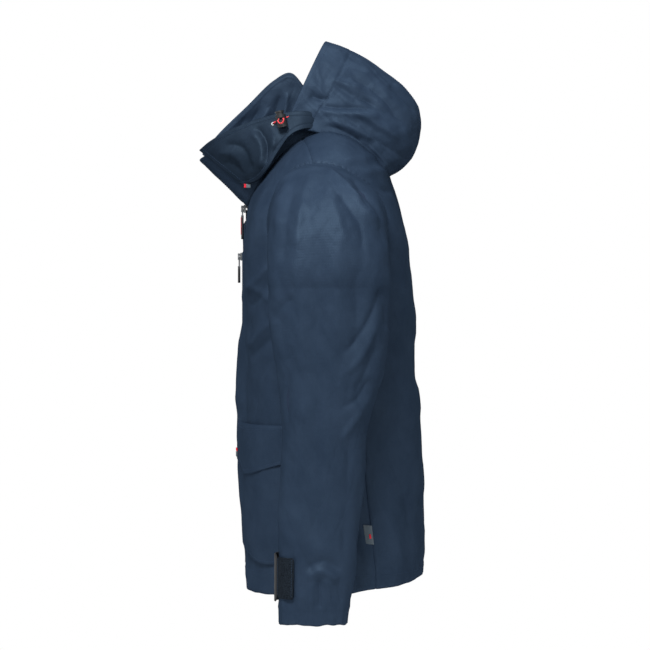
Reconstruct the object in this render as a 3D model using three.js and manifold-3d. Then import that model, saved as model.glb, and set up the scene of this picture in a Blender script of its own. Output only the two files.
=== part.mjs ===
// A hooded foul weather jacket, zipped up with its collar open and its hood thrown back.
// Millimetres. +X is the wearer's left, -Y the front, +Z up. The origin is the middle of the neck.
import * as THREE from "three";
import { LoftGeometry } from "three/addons/geometries/LoftGeometry.js";
import { mergeVertices } from "three/addons/utils/BufferGeometryUtils.js";
import Module from "manifold-3d";

const wasm = await Module();
wasm.setup();

// ---- driving dimensions ----
const gap = 0.3; // between pieces that are sewn or laid together
const cloth = 4; // shell thickness, with its seams and facings
const liningThickness = 2;
const liningGap = 0.8; // between the shell and its lining where they are sewn
const liningSlack = 4; // between the body's shell and the lining that hangs inside it

const hemZ = -690;
const chestZ = -186;
const halfWidth = 220; // of the body, to the middle of the cloth
const bodyCentreY = 15;
const frontDepth = 132; // from bodyCentreY to the front
const chestSquareness = 3.6; // superellipse powers
const hemSquareness = 2.7;
const shoulderFullness = 0.15;

const neckHalfWidth = 80;
const neckFrontY = -113;
const neckSideY = -20;
const neckBackY = 48;
const neckDrop = 120; // from the back of the neck to the bottom of the neckline

const sideSeamAngle = 113; // degrees from the centre front
const shoulderSeamAngle = 84;

const zipTapeWidth = 13.5; // of one tape
const zipTapeThickness = 1.2;
const zipMiddle = 0.7; // half the space between the rows, where a slider's post runs
const zipBead = 3.2; // from the middle to the outside of a row of teeth
const zipTopZ = -124;
const zipBottomZ = -660;

const armholeRadius = 88;
const armholeY = 8;
const armholeZ = -153;
const armholeClearance = 0.6;
const sleeveRootX = 190;
const sleeveShoulderX = 226;
const underarmBend = 8;
const cuffZ = -731;

const hoodCloth = 3.5;
const hoodStripAngle = 18; // half the centre panel, in degrees round a rib
const hoodSquareness = 2.6;

const pocketTopZ = -450;
const pocketFrontAngle = 18;
const pocketBackAngle = 58;
const pocketBag = 3.4;
const pocketFlap = 2.4;
const flapDrop = 72;
const bagDrop = 206;

const chestZipX = -40;
const chestZipTopZ = -188;
const chestZipBottomZ = -300;

const cordDiameter = 2;
const lockRadius = 8;
const lockHeight = 19;
const lockX = 116;
const lockY = -61.5;
const lockZ = 8;
const lockTilt = 12; // degrees, its button leaning forward

// ---- materials ----
const finish = (colour, roughness, metalness = 0) => () =>
  new THREE.MeshStandardMaterial({ color: colour, roughness, metalness });
const shellCloth = finish(0x31405a, 0.85);
const darkCloth = finish(0x27313f, 0.85);
const liningCloth = finish(0x1d2736, 0.9);
const blackPlastic = finish(0x15171a, 0.45);
const greyMetal = finish(0x8a8d90, 0.35, 0.9);
const redCord = finish(0xd0202e, 0.7);
const labelCloth = finish(0x4d565d, 0.9);
const hookAndLoop = finish(0x14181d, 0.98);

// ---- small helpers ----
const radians = THREE.MathUtils.degToRad;
const { lerp, smoothstep } = THREE.MathUtils;
const vec = (x, y, z) => new THREE.Vector3(x, y, z);

// Reads a value from a list of [place, value] pairs in rising order of place.
function profile(pairs) {
  return (place) => {
    const k = pairs.findIndex(([at]) => at > place);
    if (k === 0) return pairs[0][1];
    if (k < 0) return pairs.at(-1)[1];
    const [[a, low], [b, high]] = [pairs[k - 1], pairs[k]];
    return lerp(low, high, (place - a) / (b - a));
  };
}

// The point at an angle on a unit superellipse: across, and along the zero direction.
function superellipse(angle, power) {
  const [s, c] = [Math.sin(angle), Math.cos(angle)];
  const r = (Math.abs(s) ** power + Math.abs(c) ** power) ** (-1 / power);
  return [r * s, r * c];
}

// The outward normal of surface(u, v), whose u runs round and whose v runs up.
function normalOf(surface, u, v) {
  const step = 1e-3;
  const [u0, u1] = [Math.max(u - step, 0), Math.min(u + step, 1)];
  const [v0, v1] = [Math.max(v - step, 0), Math.min(v + step, 1)];
  const along = surface(u1, v).sub(surface(u0, v));
  const up = surface(u, v1).sub(surface(u, v0));
  return along.cross(up).normalize();
}

// A closed sheet of cloth on surface(u, v), lifted off it along the normal by lift(v).
function sheet(surface, across, high, thickness, lift = () => 0) {
  const geometry = new THREE.BoxGeometry(1, 1, 1, across, high, 1);
  const at = geometry.attributes.position;
  for (let i = 0; i < at.count; i++) {
    const [u, v] = [at.getX(i) + 0.5, at.getY(i) + 0.5];
    const point = surface(u, v);
    point.addScaledVector(normalOf(surface, u, v), lift(v) + at.getZ(i) * thickness);
    at.setXYZ(i, point.x, point.y, point.z);
  }
  return geometry;
}

function solidOf(geometry) {
  const bare = new THREE.BufferGeometry();
  bare.setAttribute("position", geometry.attributes.position);
  if (geometry.index) bare.setIndex(geometry.index);
  const merged = mergeVertices(bare, 1e-3);
  return new wasm.Manifold(
    new wasm.Mesh({
      numProp: 3,
      vertProperties: merged.attributes.position.array,
      triVerts: new Uint32Array(merged.index.array),
    }),
  );
}

function geometryOf(solid) {
  const mesh = solid.getMesh();
  const geometry = new THREE.BufferGeometry();
  geometry.setAttribute("position", new THREE.BufferAttribute(mesh.vertProperties, 3));
  geometry.setIndex(new THREE.BufferAttribute(mesh.triVerts, 1));
  return geometry;
}

const cut = (geometry, ...tools) =>
  geometryOf(tools.reduce((left, tool) => left.subtract(solidOf(tool)), solidOf(geometry)));
const join = (...geometries) =>
  geometryOf(geometries.map(solidOf).reduce((all, one) => all.add(one)));

const box = (x0, x1, y0, y1, z0, z1) =>
  new THREE.BoxGeometry(x1 - x0, y1 - y0, z1 - z0).translate(
    (x0 + x1) / 2,
    (y0 + y1) / 2,
    (z0 + z1) / 2,
  );
const rod = (radius, length, sides = 24) => new THREE.CylinderGeometry(radius, radius, length, sides);
const rodAlongX = (radius, length, sides) => rod(radius, length, sides).rotateZ(Math.PI / 2);
const rodAlongZ = (radius, length, sides) => rod(radius, length, sides).rotateX(Math.PI / 2);

function tube(points, diameter, steps, sides) {
  const section = new THREE.Shape(
    Array.from({ length: sides }, (_, k) => {
      const turn = (k / sides) * 2 * Math.PI;
      return new THREE.Vector2(Math.cos(turn), Math.sin(turn)).multiplyScalar(diameter / 2);
    }),
  );
  const path = new THREE.CatmullRomCurve3(points);
  return new THREE.ExtrudeGeometry(section, { steps, extrudePath: path, bevelEnabled: false });
}

// ---- the body's surface ----
const edgeAngle = Math.atan((zipTapeWidth + 2 * gap) / halfWidth); // of a front panel's zip edge
const bellyTurn = THREE.MathUtils.radToDeg(edgeAngle) - 0.67; // where the front starts to stand out
const bellyRise = 4; // degrees

const backY = profile([
  [-690, 153], [-610, 158], [-496, 153], [-341, 143], [-186, 130],
]);
// How far the front stands forward beside the zip.
const belly = profile([
  [-690, -5], [-643, 0], [-573, 6], [-496, 10], [-418, 10], [-341, 6], [-306, 0],
]);

function bodyRing(angle, z) {
  const power = lerp(hemSquareness, chestSquareness, (z - hemZ) / (chestZ - hemZ));
  const [side, forward] = superellipse(angle, power);
  const depth = forward > 0 ? frontDepth : backY(z) - bodyCentreY;
  const turn = THREE.MathUtils.radToDeg(Math.abs(angle));
  const rising = smoothstep(turn, bellyTurn, bellyTurn + bellyRise);
  const beside = rising * (1 - smoothstep(turn, 11, 26));
  return vec(halfWidth * side, bodyCentreY - depth * forward - belly(z) * beside, z);
}

// The neckline's squareness, which brings its front ends to the zip tapes' edges.
const neckSquareness =
  Math.log((zipTapeWidth - 0.1) / neckHalfWidth) / Math.log(Math.sin(edgeAngle));

function neckRing(angle) {
  const c = Math.cos(angle);
  const reach = c > 0 ? neckSideY - neckFrontY : neckBackY - neckSideY;
  return vec(
    neckHalfWidth * Math.sign(Math.sin(angle)) * Math.abs(Math.sin(angle)) ** neckSquareness,
    neckSideY - reach * c,
    -neckDrop * ((1 + c) / 2) ** 3,
  );
}

// Hem at 0, chest at 1, neckline at 2.
function body(angle, height) {
  if (height <= 1) return bodyRing(angle, lerp(hemZ, chestZ, height));
  const t = height - 1;
  const [chest, neck] = [bodyRing(angle, chestZ), neckRing(angle)];
  const front = (1 + Math.cos(angle)) / 2;
  const crown = vec(
    chest.x * (1 + shoulderFullness * Math.sin(angle) ** 2),
    lerp(chest.y, neck.y, 0.3),
    -36 - 114 * front ** 4 - 26 * Math.sin(2 * angle) ** 2,
  );
  return chest
    .multiplyScalar((1 - t) ** 2)
    .addScaledVector(crown, 2 * t * (1 - t))
    .addScaledVector(neck, t ** 2);
}

const heightAt = (z) => (z - hemZ) / (chestZ - hemZ);

// The seam runs up the side behind the arm, and from the armhole along the shoulder.
function seamAngle(height) {
  const share = smoothstep(height, heightAt(armholeZ - armholeRadius), 1.45);
  return radians(lerp(sideSeamAngle, shoulderSeamAngle, share));
}

const armholeTool = (radius) =>
  rodAlongX(radius, 200, 48).translate(sleeveShoulderX, armholeY, armholeZ);

const frontFacets = 8;
const backFacets = 12;
const bodyRows = 11;
const seamGap = gap / halfWidth; // as an angle

function frontPanel(thickness = cloth) {
  const surface = (u, v) => {
    const height = 2 * v;
    return body(lerp(edgeAngle, seamAngle(height) - seamGap, u), height);
  };
  const panel = sheet(surface, frontFacets, bodyRows, thickness);
  return cut(panel, armholeTool(armholeRadius + armholeClearance));
}

function backPanel(thickness = cloth) {
  const surface = (u, v) => {
    const height = 2 * v;
    const seam = seamAngle(height) + seamGap;
    return body(lerp(seam, 2 * Math.PI - seam, u), height);
  };
  const panel = sheet(surface, backFacets, bodyRows, thickness);
  const hole = armholeTool(armholeRadius + armholeClearance);
  return cut(panel, hole, hole.clone().translate(-2 * sleeveShoulderX, 0, 0));
}

// The lining keeps the shell's rows, and stops a little short of its hem and neckline.
function liningHeight(v) {
  const row = v * bodyRows;
  if (row < 1) return lerp(0.04, 2 / bodyRows, row);
  if (row > bodyRows - 1) return lerp(2 - 2 / bodyRows, 1.97, row - bodyRows + 1);
  return 2 * v;
}

// The lining has the shell's own facets, so that it lies evenly inside them.
function torsoLining() {
  const facets = 2 * frontFacets + backFacets;
  const surface = (u, v) => {
    const height = liningHeight(v);
    const seam = seamAngle(height);
    const facet = u * facets;
    if (facet < frontFacets) return body(lerp(edgeAngle, seam, facet / frontFacets), height);
    const across = (facet - frontFacets) / backFacets;
    if (across <= 1) return body(lerp(seam, 2 * Math.PI - seam, across), height);
    const beyond = (facet - frontFacets - backFacets) / frontFacets;
    return body(2 * Math.PI - lerp(seam, edgeAngle, beyond), height);
  };
  const lift = (v) =>
    -(cloth / 2 + liningThickness / 2 + (v > 0 ? liningSlack : liningGap));
  const panel = sheet(surface, facets, bodyRows, liningThickness, lift);
  const hole = armholeTool(armholeRadius + armholeClearance);
  const holes = [hole, hole.clone().translate(-2 * sleeveShoulderX, 0, 0)];
  const shell = [frontPanel, backPanel].map((made) => made(cloth + 3 * gap));
  const otherFront = geometryOf(solidOf(shell[0]).mirror([1, 0, 0]));
  return cut(panel, ...holes, ...shell, otherFront);
}

// ---- collar ----
const collarFrontY = -188;
const collarSideY = -60;
const collarBackY = 66;
const collarBackZ = 72;
const collarFall = 119; // from the top of the collar's back to its front corners
const collarSpread = 10; // of each front corner from the middle

function collarTop(angle) {
  const c = Math.cos(angle);
  const reach = c > 0 ? collarSideY - collarFrontY : collarBackY - collarSideY;
  const spread = collarSpread * Math.sign(Math.sin(angle)) * ((1 + c) / 2) ** 4;
  return vec(
    0.96 * neckHalfWidth * Math.sin(angle) + spread,
    collarSideY - reach * c,
    collarBackZ - collarFall * ((1 + c) / 2),
  );
}

const collarStart = 0.07; // clears the neckline
const collarPoint = (angle, v) =>
  neckRing(angle).lerp(collarTop(angle), lerp(collarStart, 1, v));

const collar = () =>
  sheet(
    (u, v) => collarPoint(lerp(edgeAngle, 2 * Math.PI - edgeAngle, u), v),
    24,
    3,
    cloth,
  );

// The open top of the zip lies along the collar's front edge.
const collarZipTape = () =>
  sheet(
    (u, v) => collarPoint(lerp(0.002, edgeAngle - 0.003, u), lerp(0.02, 0.98, v)),
    1,
    3,
    zipTapeThickness,
  );

// ---- hood ----
const hoodCrown = new THREE.CatmullRomCurve3([
  vec(0, 6, 135), vec(0, 62, 112), vec(0, 115, 74), vec(0, 146, 37),
  vec(0, 153, 0), vec(0, 141, -37), vec(0, 118, -60), vec(0, 104, -67),
]);
const hoodSide = new THREE.CatmullRomCurve3([
  vec(0, -42, 24), vec(0, -20, 6), vec(0, 4, 0), vec(0, 36, -12), vec(0, 64, -27), vec(0, 84, -40),
]);
const hoodWidth = profile([[0, 97], [0.5, 106], [1, 92]]);

// A rib of the hood at s, from the face opening to the back edge.
function hoodPoint(angle, s) {
  const [across, up] = superellipse(angle, hoodSquareness);
  const point = hoodSide.getPointAt(s).lerp(hoodCrown.getPointAt(s), up);
  point.x = hoodWidth(s) * across;
  return point;
}

const hoodPanel = (from, to, across) =>
  sheet((u, v) => hoodPoint(radians(lerp(from, to, u)), v), across, 12, hoodCloth);
const hoodSeamHalf = 0.1; // degrees
const hoodCentrePanel = () =>
  hoodPanel(-hoodStripAngle + hoodSeamHalf, hoodStripAngle - hoodSeamHalf, 4);
const hoodSidePanel = () => hoodPanel(hoodStripAngle + hoodSeamHalf, 89, 9);

// The cloth inside the hood's edge, from the neck seam up over the shoulders' back.
function hoodBase() {
  const span = 78;
  const surface = (u, v) => {
    const angle = radians(lerp(-span, span, u));
    const rim = hoodPoint(angle, 1);
    const neck = neckRing(Math.PI - angle).multiply(vec(1.06, 1, 1));
    neck.y += 6 * Math.cos(angle);
    neck.z += 7;
    const rise = neck.clone().lerp(rim, 0.5).add(vec(0, 8, 40));
    const t = lerp(0.02, 0.94, 1 - v);
    return neck
      .multiplyScalar((1 - t) ** 2)
      .addScaledVector(rise, 2 * t * (1 - t))
      .addScaledVector(rim, t ** 2);
  };
  return sheet(surface, 14, 4, 2);
}

// Red binding under the hood's back edge.
function hoodBinding() {
  const surface = (u, v) => {
    const point = hoodPoint(radians(lerp(-60, 60, u)), 1);
    const before = hoodPoint(radians(lerp(-60, 60, u)), 0.97);
    const along = point.clone().sub(before).normalize();
    return point.addScaledVector(along, gap + 3 * (1 - v));
  };
  return sheet(surface, 12, 1, 2);
}

// ---- cheek wings: the hood's front, folded down outside the collar ----
const wingTop = new THREE.CatmullRomCurve3([
  vec(42.4, -187, -34), vec(65.4, -168, -21), vec(80, -132, -3), vec(93, -87, 12), vec(98, -46, 16),
]);
const wingBottom = new THREE.CatmullRomCurve3([
  vec(53, -122, -87), vec(77, -99, -82), vec(112, -80, -66), vec(112, -62, -36), vec(110, -42, -12),
]);
const farWingTop = new THREE.CatmullRomCurve3([
  vec(49.5, -187, -34), vec(76.5, -162, 0), vec(87, -118, 44), vec(83, -72, 88), vec(82, -42, 84),
]);
const wingShoulder = 0.25; // the share of its height in which a wing turns inward

function wingPoint(top, u, v) {
  const [low, high] = [wingBottom.getPoint(u), top.getPoint(u)];
  const inward = 1 - Math.max(0, 1 - v / wingShoulder) ** 2;
  const point = low.clone().lerp(high, v);
  point.x = top === farWingTop ? lerp(low.x, high.x, inward) : point.x;
  return point;
}
const wing = (top) => sheet((u, v) => wingPoint(top, u, v), 8, 8, hoodCloth);

// ---- sleeve ----
const armholeFrontY = armholeY - armholeRadius;
const armholeBackY = armholeY + armholeRadius;
const upperArm = 106; // thickness of the sleeve under the shoulder
const fullness = 2 * armholeRadius - upperArm; // what the sleeve head loses on its way down
const sleeveFront = profile([
  [0, armholeFrontY + 3], [0.13, armholeFrontY + 6], [0.31, -64], [0.6, -61], [1, -63],
]);
const sleeveBack = profile([
  [0, armholeBackY + 5], [0.13, armholeBackY + 2], [0.24, armholeBackY - 6], [0.39, 67], [0.6, 60],
  [0.91, 44], [1, 37],
]);
const sleeveThickness = profile([[0, upperArm], [0.32, 98], [0.65, 88], [1, 82]]);
const shoulderReach = profile([
  [0, upperArm + fullness], [22.5, upperArm + 0.77 * fullness], [45, upperArm + 0.46 * fullness],
  [67.5, upperArm + 0.17 * fullness], [90, upperArm],
]);
const bendZ = armholeZ - armholeRadius - underarmBend;

// A cross-section: its middle, the direction that points out of the arm's fold, and its half sizes.
function shoulderSection(turn, x = sleeveShoulderX) {
  const out = vec(Math.sin(radians(turn)), 0, Math.cos(radians(turn)));
  const half = shoulderReach(turn) / 2;
  const middle = vec(x, 0, bendZ).addScaledVector(out, underarmBend + half);
  const share = turn / 90;
  const y0 = lerp(armholeFrontY, sleeveFront(0), share);
  const y1 = lerp(armholeBackY, sleeveBack(0), share);
  middle.y = (y0 + y1) / 2;
  return { middle, out, half, halfY: (y1 - y0) / 2, power: lerp(2, 2.3, share) };
}

function armSection(share) {
  const half = sleeveThickness(share) / 2;
  const [y0, y1] = [sleeveFront(share), sleeveBack(share)];
  const x = sleeveShoulderX + underarmBend + half;
  const middle = vec(x, (y0 + y1) / 2, lerp(bendZ, cuffZ, share));
  return { middle, out: vec(1, 0, 0), half, halfY: (y1 - y0) / 2, power: 2.3 };
}

// Angle 0 is the front, a quarter turn is the outside of the arm.
function sectionPoint({ middle, out, half, halfY, power }, angle, inset = 0) {
  const [across, forward] = superellipse(angle, power);
  const point = middle.clone().addScaledVector(out, (half - inset) * across);
  point.y -= (halfY - inset) * forward;
  return point;
}

const sleeveSections = (rootX, last) => [
  shoulderSection(0, rootX),
  ...[0, 22.5, 45, 67.5, 90].map((turn) => shoulderSection(turn)),
  ...[0.13, 0.24, 0.39, 0.6, 0.8, last].map(armSection),
];

// A tube of cloth: up the outside, down the inside, and closed on itself at both ends.
function sleeveTube(sections, outerInset, thickness) {
  const sides = 18;
  const ring = (section, inset) =>
    Array.from({ length: sides }, (_, k) =>
      sectionPoint(section, (-k / sides) * 2 * Math.PI, inset),
    );
  const outer = sections.map((section) => ring(section, outerInset));
  const inner = sections.map((section) => ring(section, outerInset + thickness));
  return new LoftGeometry([...outer, ...inner.reverse(), outer[0]], { closed: true });
}

const sleeve = () => sleeveTube(sleeveSections(sleeveRootX, 1), 0, cloth);
const sleeveLining = () =>
  sleeveTube(sleeveSections(sleeveRootX + 2, 0.96), cloth + liningGap, liningThickness);

// A patch that lies on the sleeve between two angles and two heights.
const sleevePatch = (from, to, topZ, bottomZ, thickness, lift, across) =>
  sheet(
    (u, v) => {
      const z = lerp(bottomZ, topZ, v);
      const section = armSection((bendZ - z) / (bendZ - cuffZ));
      return sectionPoint(section, radians(lerp(from, to, u)));
    },
    across,
    2,
    thickness,
    lift,
  );
const patchLift = (thickness) => () => gap + 0.5 + thickness / 2;
const cuffLoopPatch = () => sleevePatch(16, 62, -636, -694, 1.4, patchLift(1.4), 5);
const cuffTab = () => sleevePatch(-58, 12, -632, -700, 3, patchLift(3), 7);

// ---- hand pockets ----
function pocketSheet(bottomAt, topZ, thickness, lift) {
  const surface = (u, v) => {
    const angle = radians(lerp(pocketFrontAngle, pocketBackAngle, u));
    return body(angle, heightAt(lerp(bottomAt(u), topZ, v)));
  };
  return sheet(surface, 8, 6, thickness, () => lift);
}
const bagLift = cloth / 2 + gap + 1.5 + pocketBag / 2;
const flapLift = bagLift + pocketBag / 2 + 0.6 + pocketFlap / 2;
const bagBottom = profile([[0, pocketTopZ - bagDrop + 24], [0.16, pocketTopZ - bagDrop]]);
const flapBottom = profile([
  [0, pocketTopZ - flapDrop + 17], [0.14, pocketTopZ - flapDrop], [1, pocketTopZ - flapDrop + 12],
]);
const pocketBagSheet = () => pocketSheet(bagBottom, pocketTopZ - 6, pocketBag, bagLift);
const pocketFlapSheet = () => pocketSheet(flapBottom, pocketTopZ, pocketFlap, flapLift);

// ---- front zip ----
const zipPlaneY = bodyCentreY - frontDepth;

function zipTape() {
  const [back, front] = [zipPlaneY + zipTapeThickness / 2, zipPlaneY - zipTapeThickness / 2];
  const tape = box(zipMiddle, zipTapeWidth, front, back, zipBottomZ, zipTopZ);
  const teeth = box(zipMiddle, zipBead, front - 1, back + 1, zipBottomZ, zipTopZ);
  return join(tape, teeth);
}

const zipBottomBox = () =>
  box(-4.5, 4.5, zipPlaneY - 2.2, zipPlaneY + 2.2, zipBottomZ - gap - 9, zipBottomZ - gap);

const lapY = zipPlaneY + cloth / 2 + liningSlack + liningThickness + 2 * gap;
const innerStormFlap = () =>
  box(-22, 20, lapY, lapY + 2, zipBottomZ + 4, chestZ);

// A slider that wraps the teeth, with a bridge for its puller, open along Z.
function zipSlider(planeY, z) {
  const shell = box(-5.2, 5.2, planeY - 4.2, planeY + 3.6, z - 6, z + 6);
  const channel = box(-zipBead - 0.5, zipBead + 0.5, planeY - 2.4, planeY + 2.2, z - 9, z + 9);
  const slot = box(-9, 9, planeY - 1.1, planeY + 1.1, z - 9, z + 9);
  const bridge = box(-1.4, 1.4, planeY - 8.4, planeY - 4, z - 5, z + 5);
  const eye = rodAlongX(1.5, 8, 12).translate(0, planeY - 6.2, z);
  const post = box(-0.4, 0.4, planeY - 3, planeY + 3, z + 1, z + 5);
  return join(cut(join(shell, bridge), channel, slot, eye), post);
}

// A puller on its pin: two arms and a moulded grip.
function zipPuller(planeY, z, gripTop, gripBottom, gripHalf) {
  const pinY = planeY - 6.2;
  const pin = rodAlongX(1, 6.6, 12).translate(0, pinY, z);
  const arm = (x) => box(x, x + 1.2, pinY - 1, pinY + 1, gripTop - 1, z + 1);
  const grip = box(-gripHalf, gripHalf, pinY - 2.4, pinY + 2, gripBottom + gripHalf, gripTop);
  const tip = rod(gripHalf, 4.4, 16).translate(0, pinY - 0.2, gripBottom + gripHalf);
  return join(pin, arm(-3.3), arm(2.1), grip, tip);
}

// ---- chest pocket zip, on the right front ----
const chestPlaneY = zipPlaneY - cloth / 2 - 4.4;

function chestZipTape() {
  const back = zipPlaneY - cloth / 2 - gap - 0.3;
  const [front, face] = [chestPlaneY - zipTapeThickness / 2, chestPlaneY + zipTapeThickness / 2];
  const tape = (x0, x1) => box(x0, x1, front, face, chestZipBottomZ, chestZipTopZ);
  const welt = box(-8.5, -6.5, front, back, chestZipBottomZ - 4, chestZipTopZ);
  const end = box(-8.5, 8.5, front, back, chestZipBottomZ - 4, chestZipBottomZ);
  const teeth = box(-zipBead, -zipMiddle, front - 1, face + 1, chestZipBottomZ, chestZipTopZ);
  const [otherWelt, otherTeeth] = [welt, teeth].map((piece, k) =>
    piece.clone().translate(k ? zipBead + zipMiddle : 15, 0, 0),
  );
  const tapes = [tape(-7, -zipMiddle), tape(zipMiddle, 7)];
  return join(end, ...tapes, welt, otherWelt, teeth, otherTeeth);
}

const garageWidth = 24;
const garageThickness = 2.8;
const garageTopZ = -140;

function chestGarage() {
  const back = zipPlaneY - cloth / 2 - 3 * gap;
  const half = garageWidth / 2;
  return box(-half, half, back - garageThickness, back, chestZipTopZ + gap, garageTopZ);
}

// ---- hood cord and its lock ----
// One strand goes from the front eyelet through the lock, loops, and comes back to the rear eyelet.
const cordRoute = [
  [103.6, -73.6, 2.6], [105.2, -72.6, 3.2], [106.0, -70.4, 4.4], [106.6, -68.0, 5.6],
  [107.7, -65.9, 6.6], [110, -64.8, 7.2], [114, -64.6, 7.3], [121, -64.6, 7.3], [125.2, -65.0, 6.9],
  [127.6, -65.9, 4.6], [128.2, -64.6, 1.8], [128.3, -61.7, 0.6], [128.2, -58.8, 2.2],
  [127.6, -57.5, 5.6], [125.2, -58.0, 8.2], [121, -58.4, 8.7], [114, -58.4, 8.7],
  [110, -58.2, 8.8], [107.7, -57.2, 9.4], [106.6, -55.2, 10.4], [106.1, -52.8, 11.4],
  [105.2, -50.8, 12.4], [103.6, -50.0, 12.9],
];
const hoodCord = () =>
  tube(cordRoute.map((at) => vec(...at)), cordDiameter, 26, 8);

// Where the eyelets lie on each wing: the near one is folded lower than the far one.
const eyelets = {
  left: { front: [0.8, 0.72], rear: [0.975, 0.87] },
  right: { front: [0.715, 0.36], rear: [0.925, 0.29] },
};
const farLockInset = 15.5; // the far wing stands further in, and its lock with it

// A grommet seated on the wing's face.
function eyelet(top, u, v) {
  const profilePoints = [[1.6, 0], [4, 0], [4, 0.5], [2.6, 1.4], [1.6, 1.4], [1.6, 0]];
  const ring = new THREE.LatheGeometry(
    profilePoints.map(([r, h]) => new THREE.Vector2(r, h)),
    16,
  );
  const surface = (a, b) => wingPoint(top, a, b);
  const normal = normalOf(surface, u, v);
  ring.applyQuaternion(new THREE.Quaternion().setFromUnitVectors(vec(0, 1, 0), normal));
  const seat = surface(u, v).addScaledVector(normal, hoodCloth / 2 + gap + 0.3);
  return ring.translate(seat.x, seat.y, seat.z);
}

const plungerRadius = 5.6;
const slotWidth = 2 * (3.2 + cordDiameter / 2) + 0.9;
const cordSlot = () => box(-20, 20, -slotWidth / 2, slotWidth / 2, -1.6, 1.6);

function cordlockBarrel() {
  const shell = rodAlongZ(lockRadius, lockHeight, 20).translate(0, 0, -3);
  const bore = rodAlongZ(plungerRadius + 2 * gap, lockHeight, 20).translate(0, 0, -1.3);
  return cut(shell, bore, cordSlot());
}

function cordlockButton() {
  const stem = rodAlongZ(plungerRadius, 15, 20).translate(0, 0, 2.5);
  const cap = rodAlongZ(6.8, 2.6, 20).translate(0, 0, 11.2);
  return cut(join(stem, cap), cordSlot().scale(1, 1, 1.9).translate(0, 0, 1.35));
}

function cordlockSpring() {
  const turns = 2.5;
  const steps = 20;
  const helix = Array.from({ length: steps + 1 }, (_, k) => {
    const turn = (k / steps) * turns * 2 * Math.PI;
    return vec(3.8 * Math.cos(turn), 3.8 * Math.sin(turn), -10.1 + (2.1 * k) / steps);
  });
  return tube(helix, 0.8, steps, 5);
}

// ---- hanger loop and label ----
function hangerLoop() {
  const tape = box(-32, 32, 36, 38, 14, 22);
  const end = box(-32, -29, 37, 45.3, 14, 22);
  return join(tape, end, end.clone().translate(61, 0, 0));
}

const sideLabel = () =>
  sheet(
    (u, v) => body(radians(sideSeamAngle + lerp(1, 8, u)), heightAt(lerp(-622, -595, v))),
    1,
    1,
    1.2,
    () => cloth / 2 + gap + 0.8,
  );

// ---- assembly ----
const jacket = new THREE.Group();

function add(name, geometry, material, at = [0, 0, 0]) {
  const mesh = new THREE.Mesh(geometry, material());
  mesh.name = name;
  mesh.position.set(...at);
  jacket.add(mesh);
  return mesh;
}

// A left piece and its mirror image.
function addPair(name, geometry, material) {
  add("left_" + name, geometry, material);
  add("right_" + name, geometry, material).scale.x = -1;
}

addPair("front_panel", frontPanel(), shellCloth);
add("back_panel", backPanel(), shellCloth);
add("torso_lining", torsoLining(), liningCloth);
add("collar", collar(), shellCloth);
addPair("collar_zip_tape", collarZipTape(), blackPlastic);

add("hood_centre_panel", hoodCentrePanel(), shellCloth);
addPair("hood_side_panel", hoodSidePanel(), shellCloth);
add("hood_base", hoodBase(), darkCloth);
add("hood_edge_binding", hoodBinding(), redCord);
add("left_hood_wing", wing(wingTop), darkCloth);
add("right_hood_wing", wing(farWingTop), shellCloth).scale.x = -1;

addPair("sleeve", sleeve(), shellCloth);
addPair("sleeve_lining", sleeveLining(), liningCloth);
addPair("cuff_loop_patch", cuffLoopPatch(), hookAndLoop);
addPair("cuff_tab", cuffTab(), blackPlastic);

addPair("pocket_bag", pocketBagSheet(), shellCloth);
addPair("pocket_flap", pocketFlapSheet(), shellCloth);

addPair("zip_tape", zipTape(), blackPlastic);
add("zip_bottom_box", zipBottomBox(), blackPlastic);
add("inner_storm_flap", innerStormFlap(), liningCloth);
add("zip_slider", zipSlider(zipPlaneY, zipTopZ + 2), greyMetal);
add("zip_puller", zipPuller(zipPlaneY, zipTopZ + 2, -132, -169, 3.6), blackPlastic);

const onChest = [chestZipX, 0, 0];
add("chest_zip_tape", chestZipTape(), blackPlastic, onChest);
add("chest_zip_garage", chestGarage(), shellCloth, onChest);
add("chest_zip_slider", zipSlider(chestPlaneY, chestZipTopZ - 7), greyMetal, onChest);
add("chest_zip_puller", zipPuller(chestPlaneY, chestZipTopZ - 7, -210, -236, 3), blackPlastic, onChest);

for (const sign of [1, -1]) {
  const side = sign > 0 ? "left" : "right";
  const top = sign > 0 ? wingTop : farWingTop;
  const place = (name, geometry, material, at, tilt = 0) => {
    const inset = sign > 0 ? 0 : farLockInset;
    const x = name.endsWith("eyelet") ? 0 : sign * (at[0] - inset);
    const mesh = add(side + "_" + name, geometry, material, [x, at[1], at[2]]);
    mesh.scale.x = sign;
    mesh.rotation.x = radians(tilt);
  };
  for (const [where, [u, v]] of Object.entries(eyelets[side]))
    place(where + "_eyelet", eyelet(top, u, v), greyMetal, [0, 0, 0]);
  place("hood_cord", hoodCord(), redCord, [0, 0, 0]);
  const lock = [lockX, lockY, lockZ];
  place("cordlock_barrel", cordlockBarrel(), blackPlastic, lock, lockTilt);
  place("cordlock_button", cordlockButton(), blackPlastic, lock, lockTilt);
  place("cordlock_spring", cordlockSpring(), greyMetal, lock, lockTilt);
}

add("hanger_loop", hangerLoop(), blackPlastic);
add("side_label", sideLabel(), labelCloth);

export default jacket;
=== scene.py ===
"""A hooded foul weather jacket, zipped up with its collar open and its hood thrown back.

Lengths are in millimetres until a mesh is made, and the frame is the CAD's: +X the wearer's left,
-Y the front, +Z up, with the origin in the middle of the neck.
"""

import math

import bpy
import numpy as np
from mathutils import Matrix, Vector, noise


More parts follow.
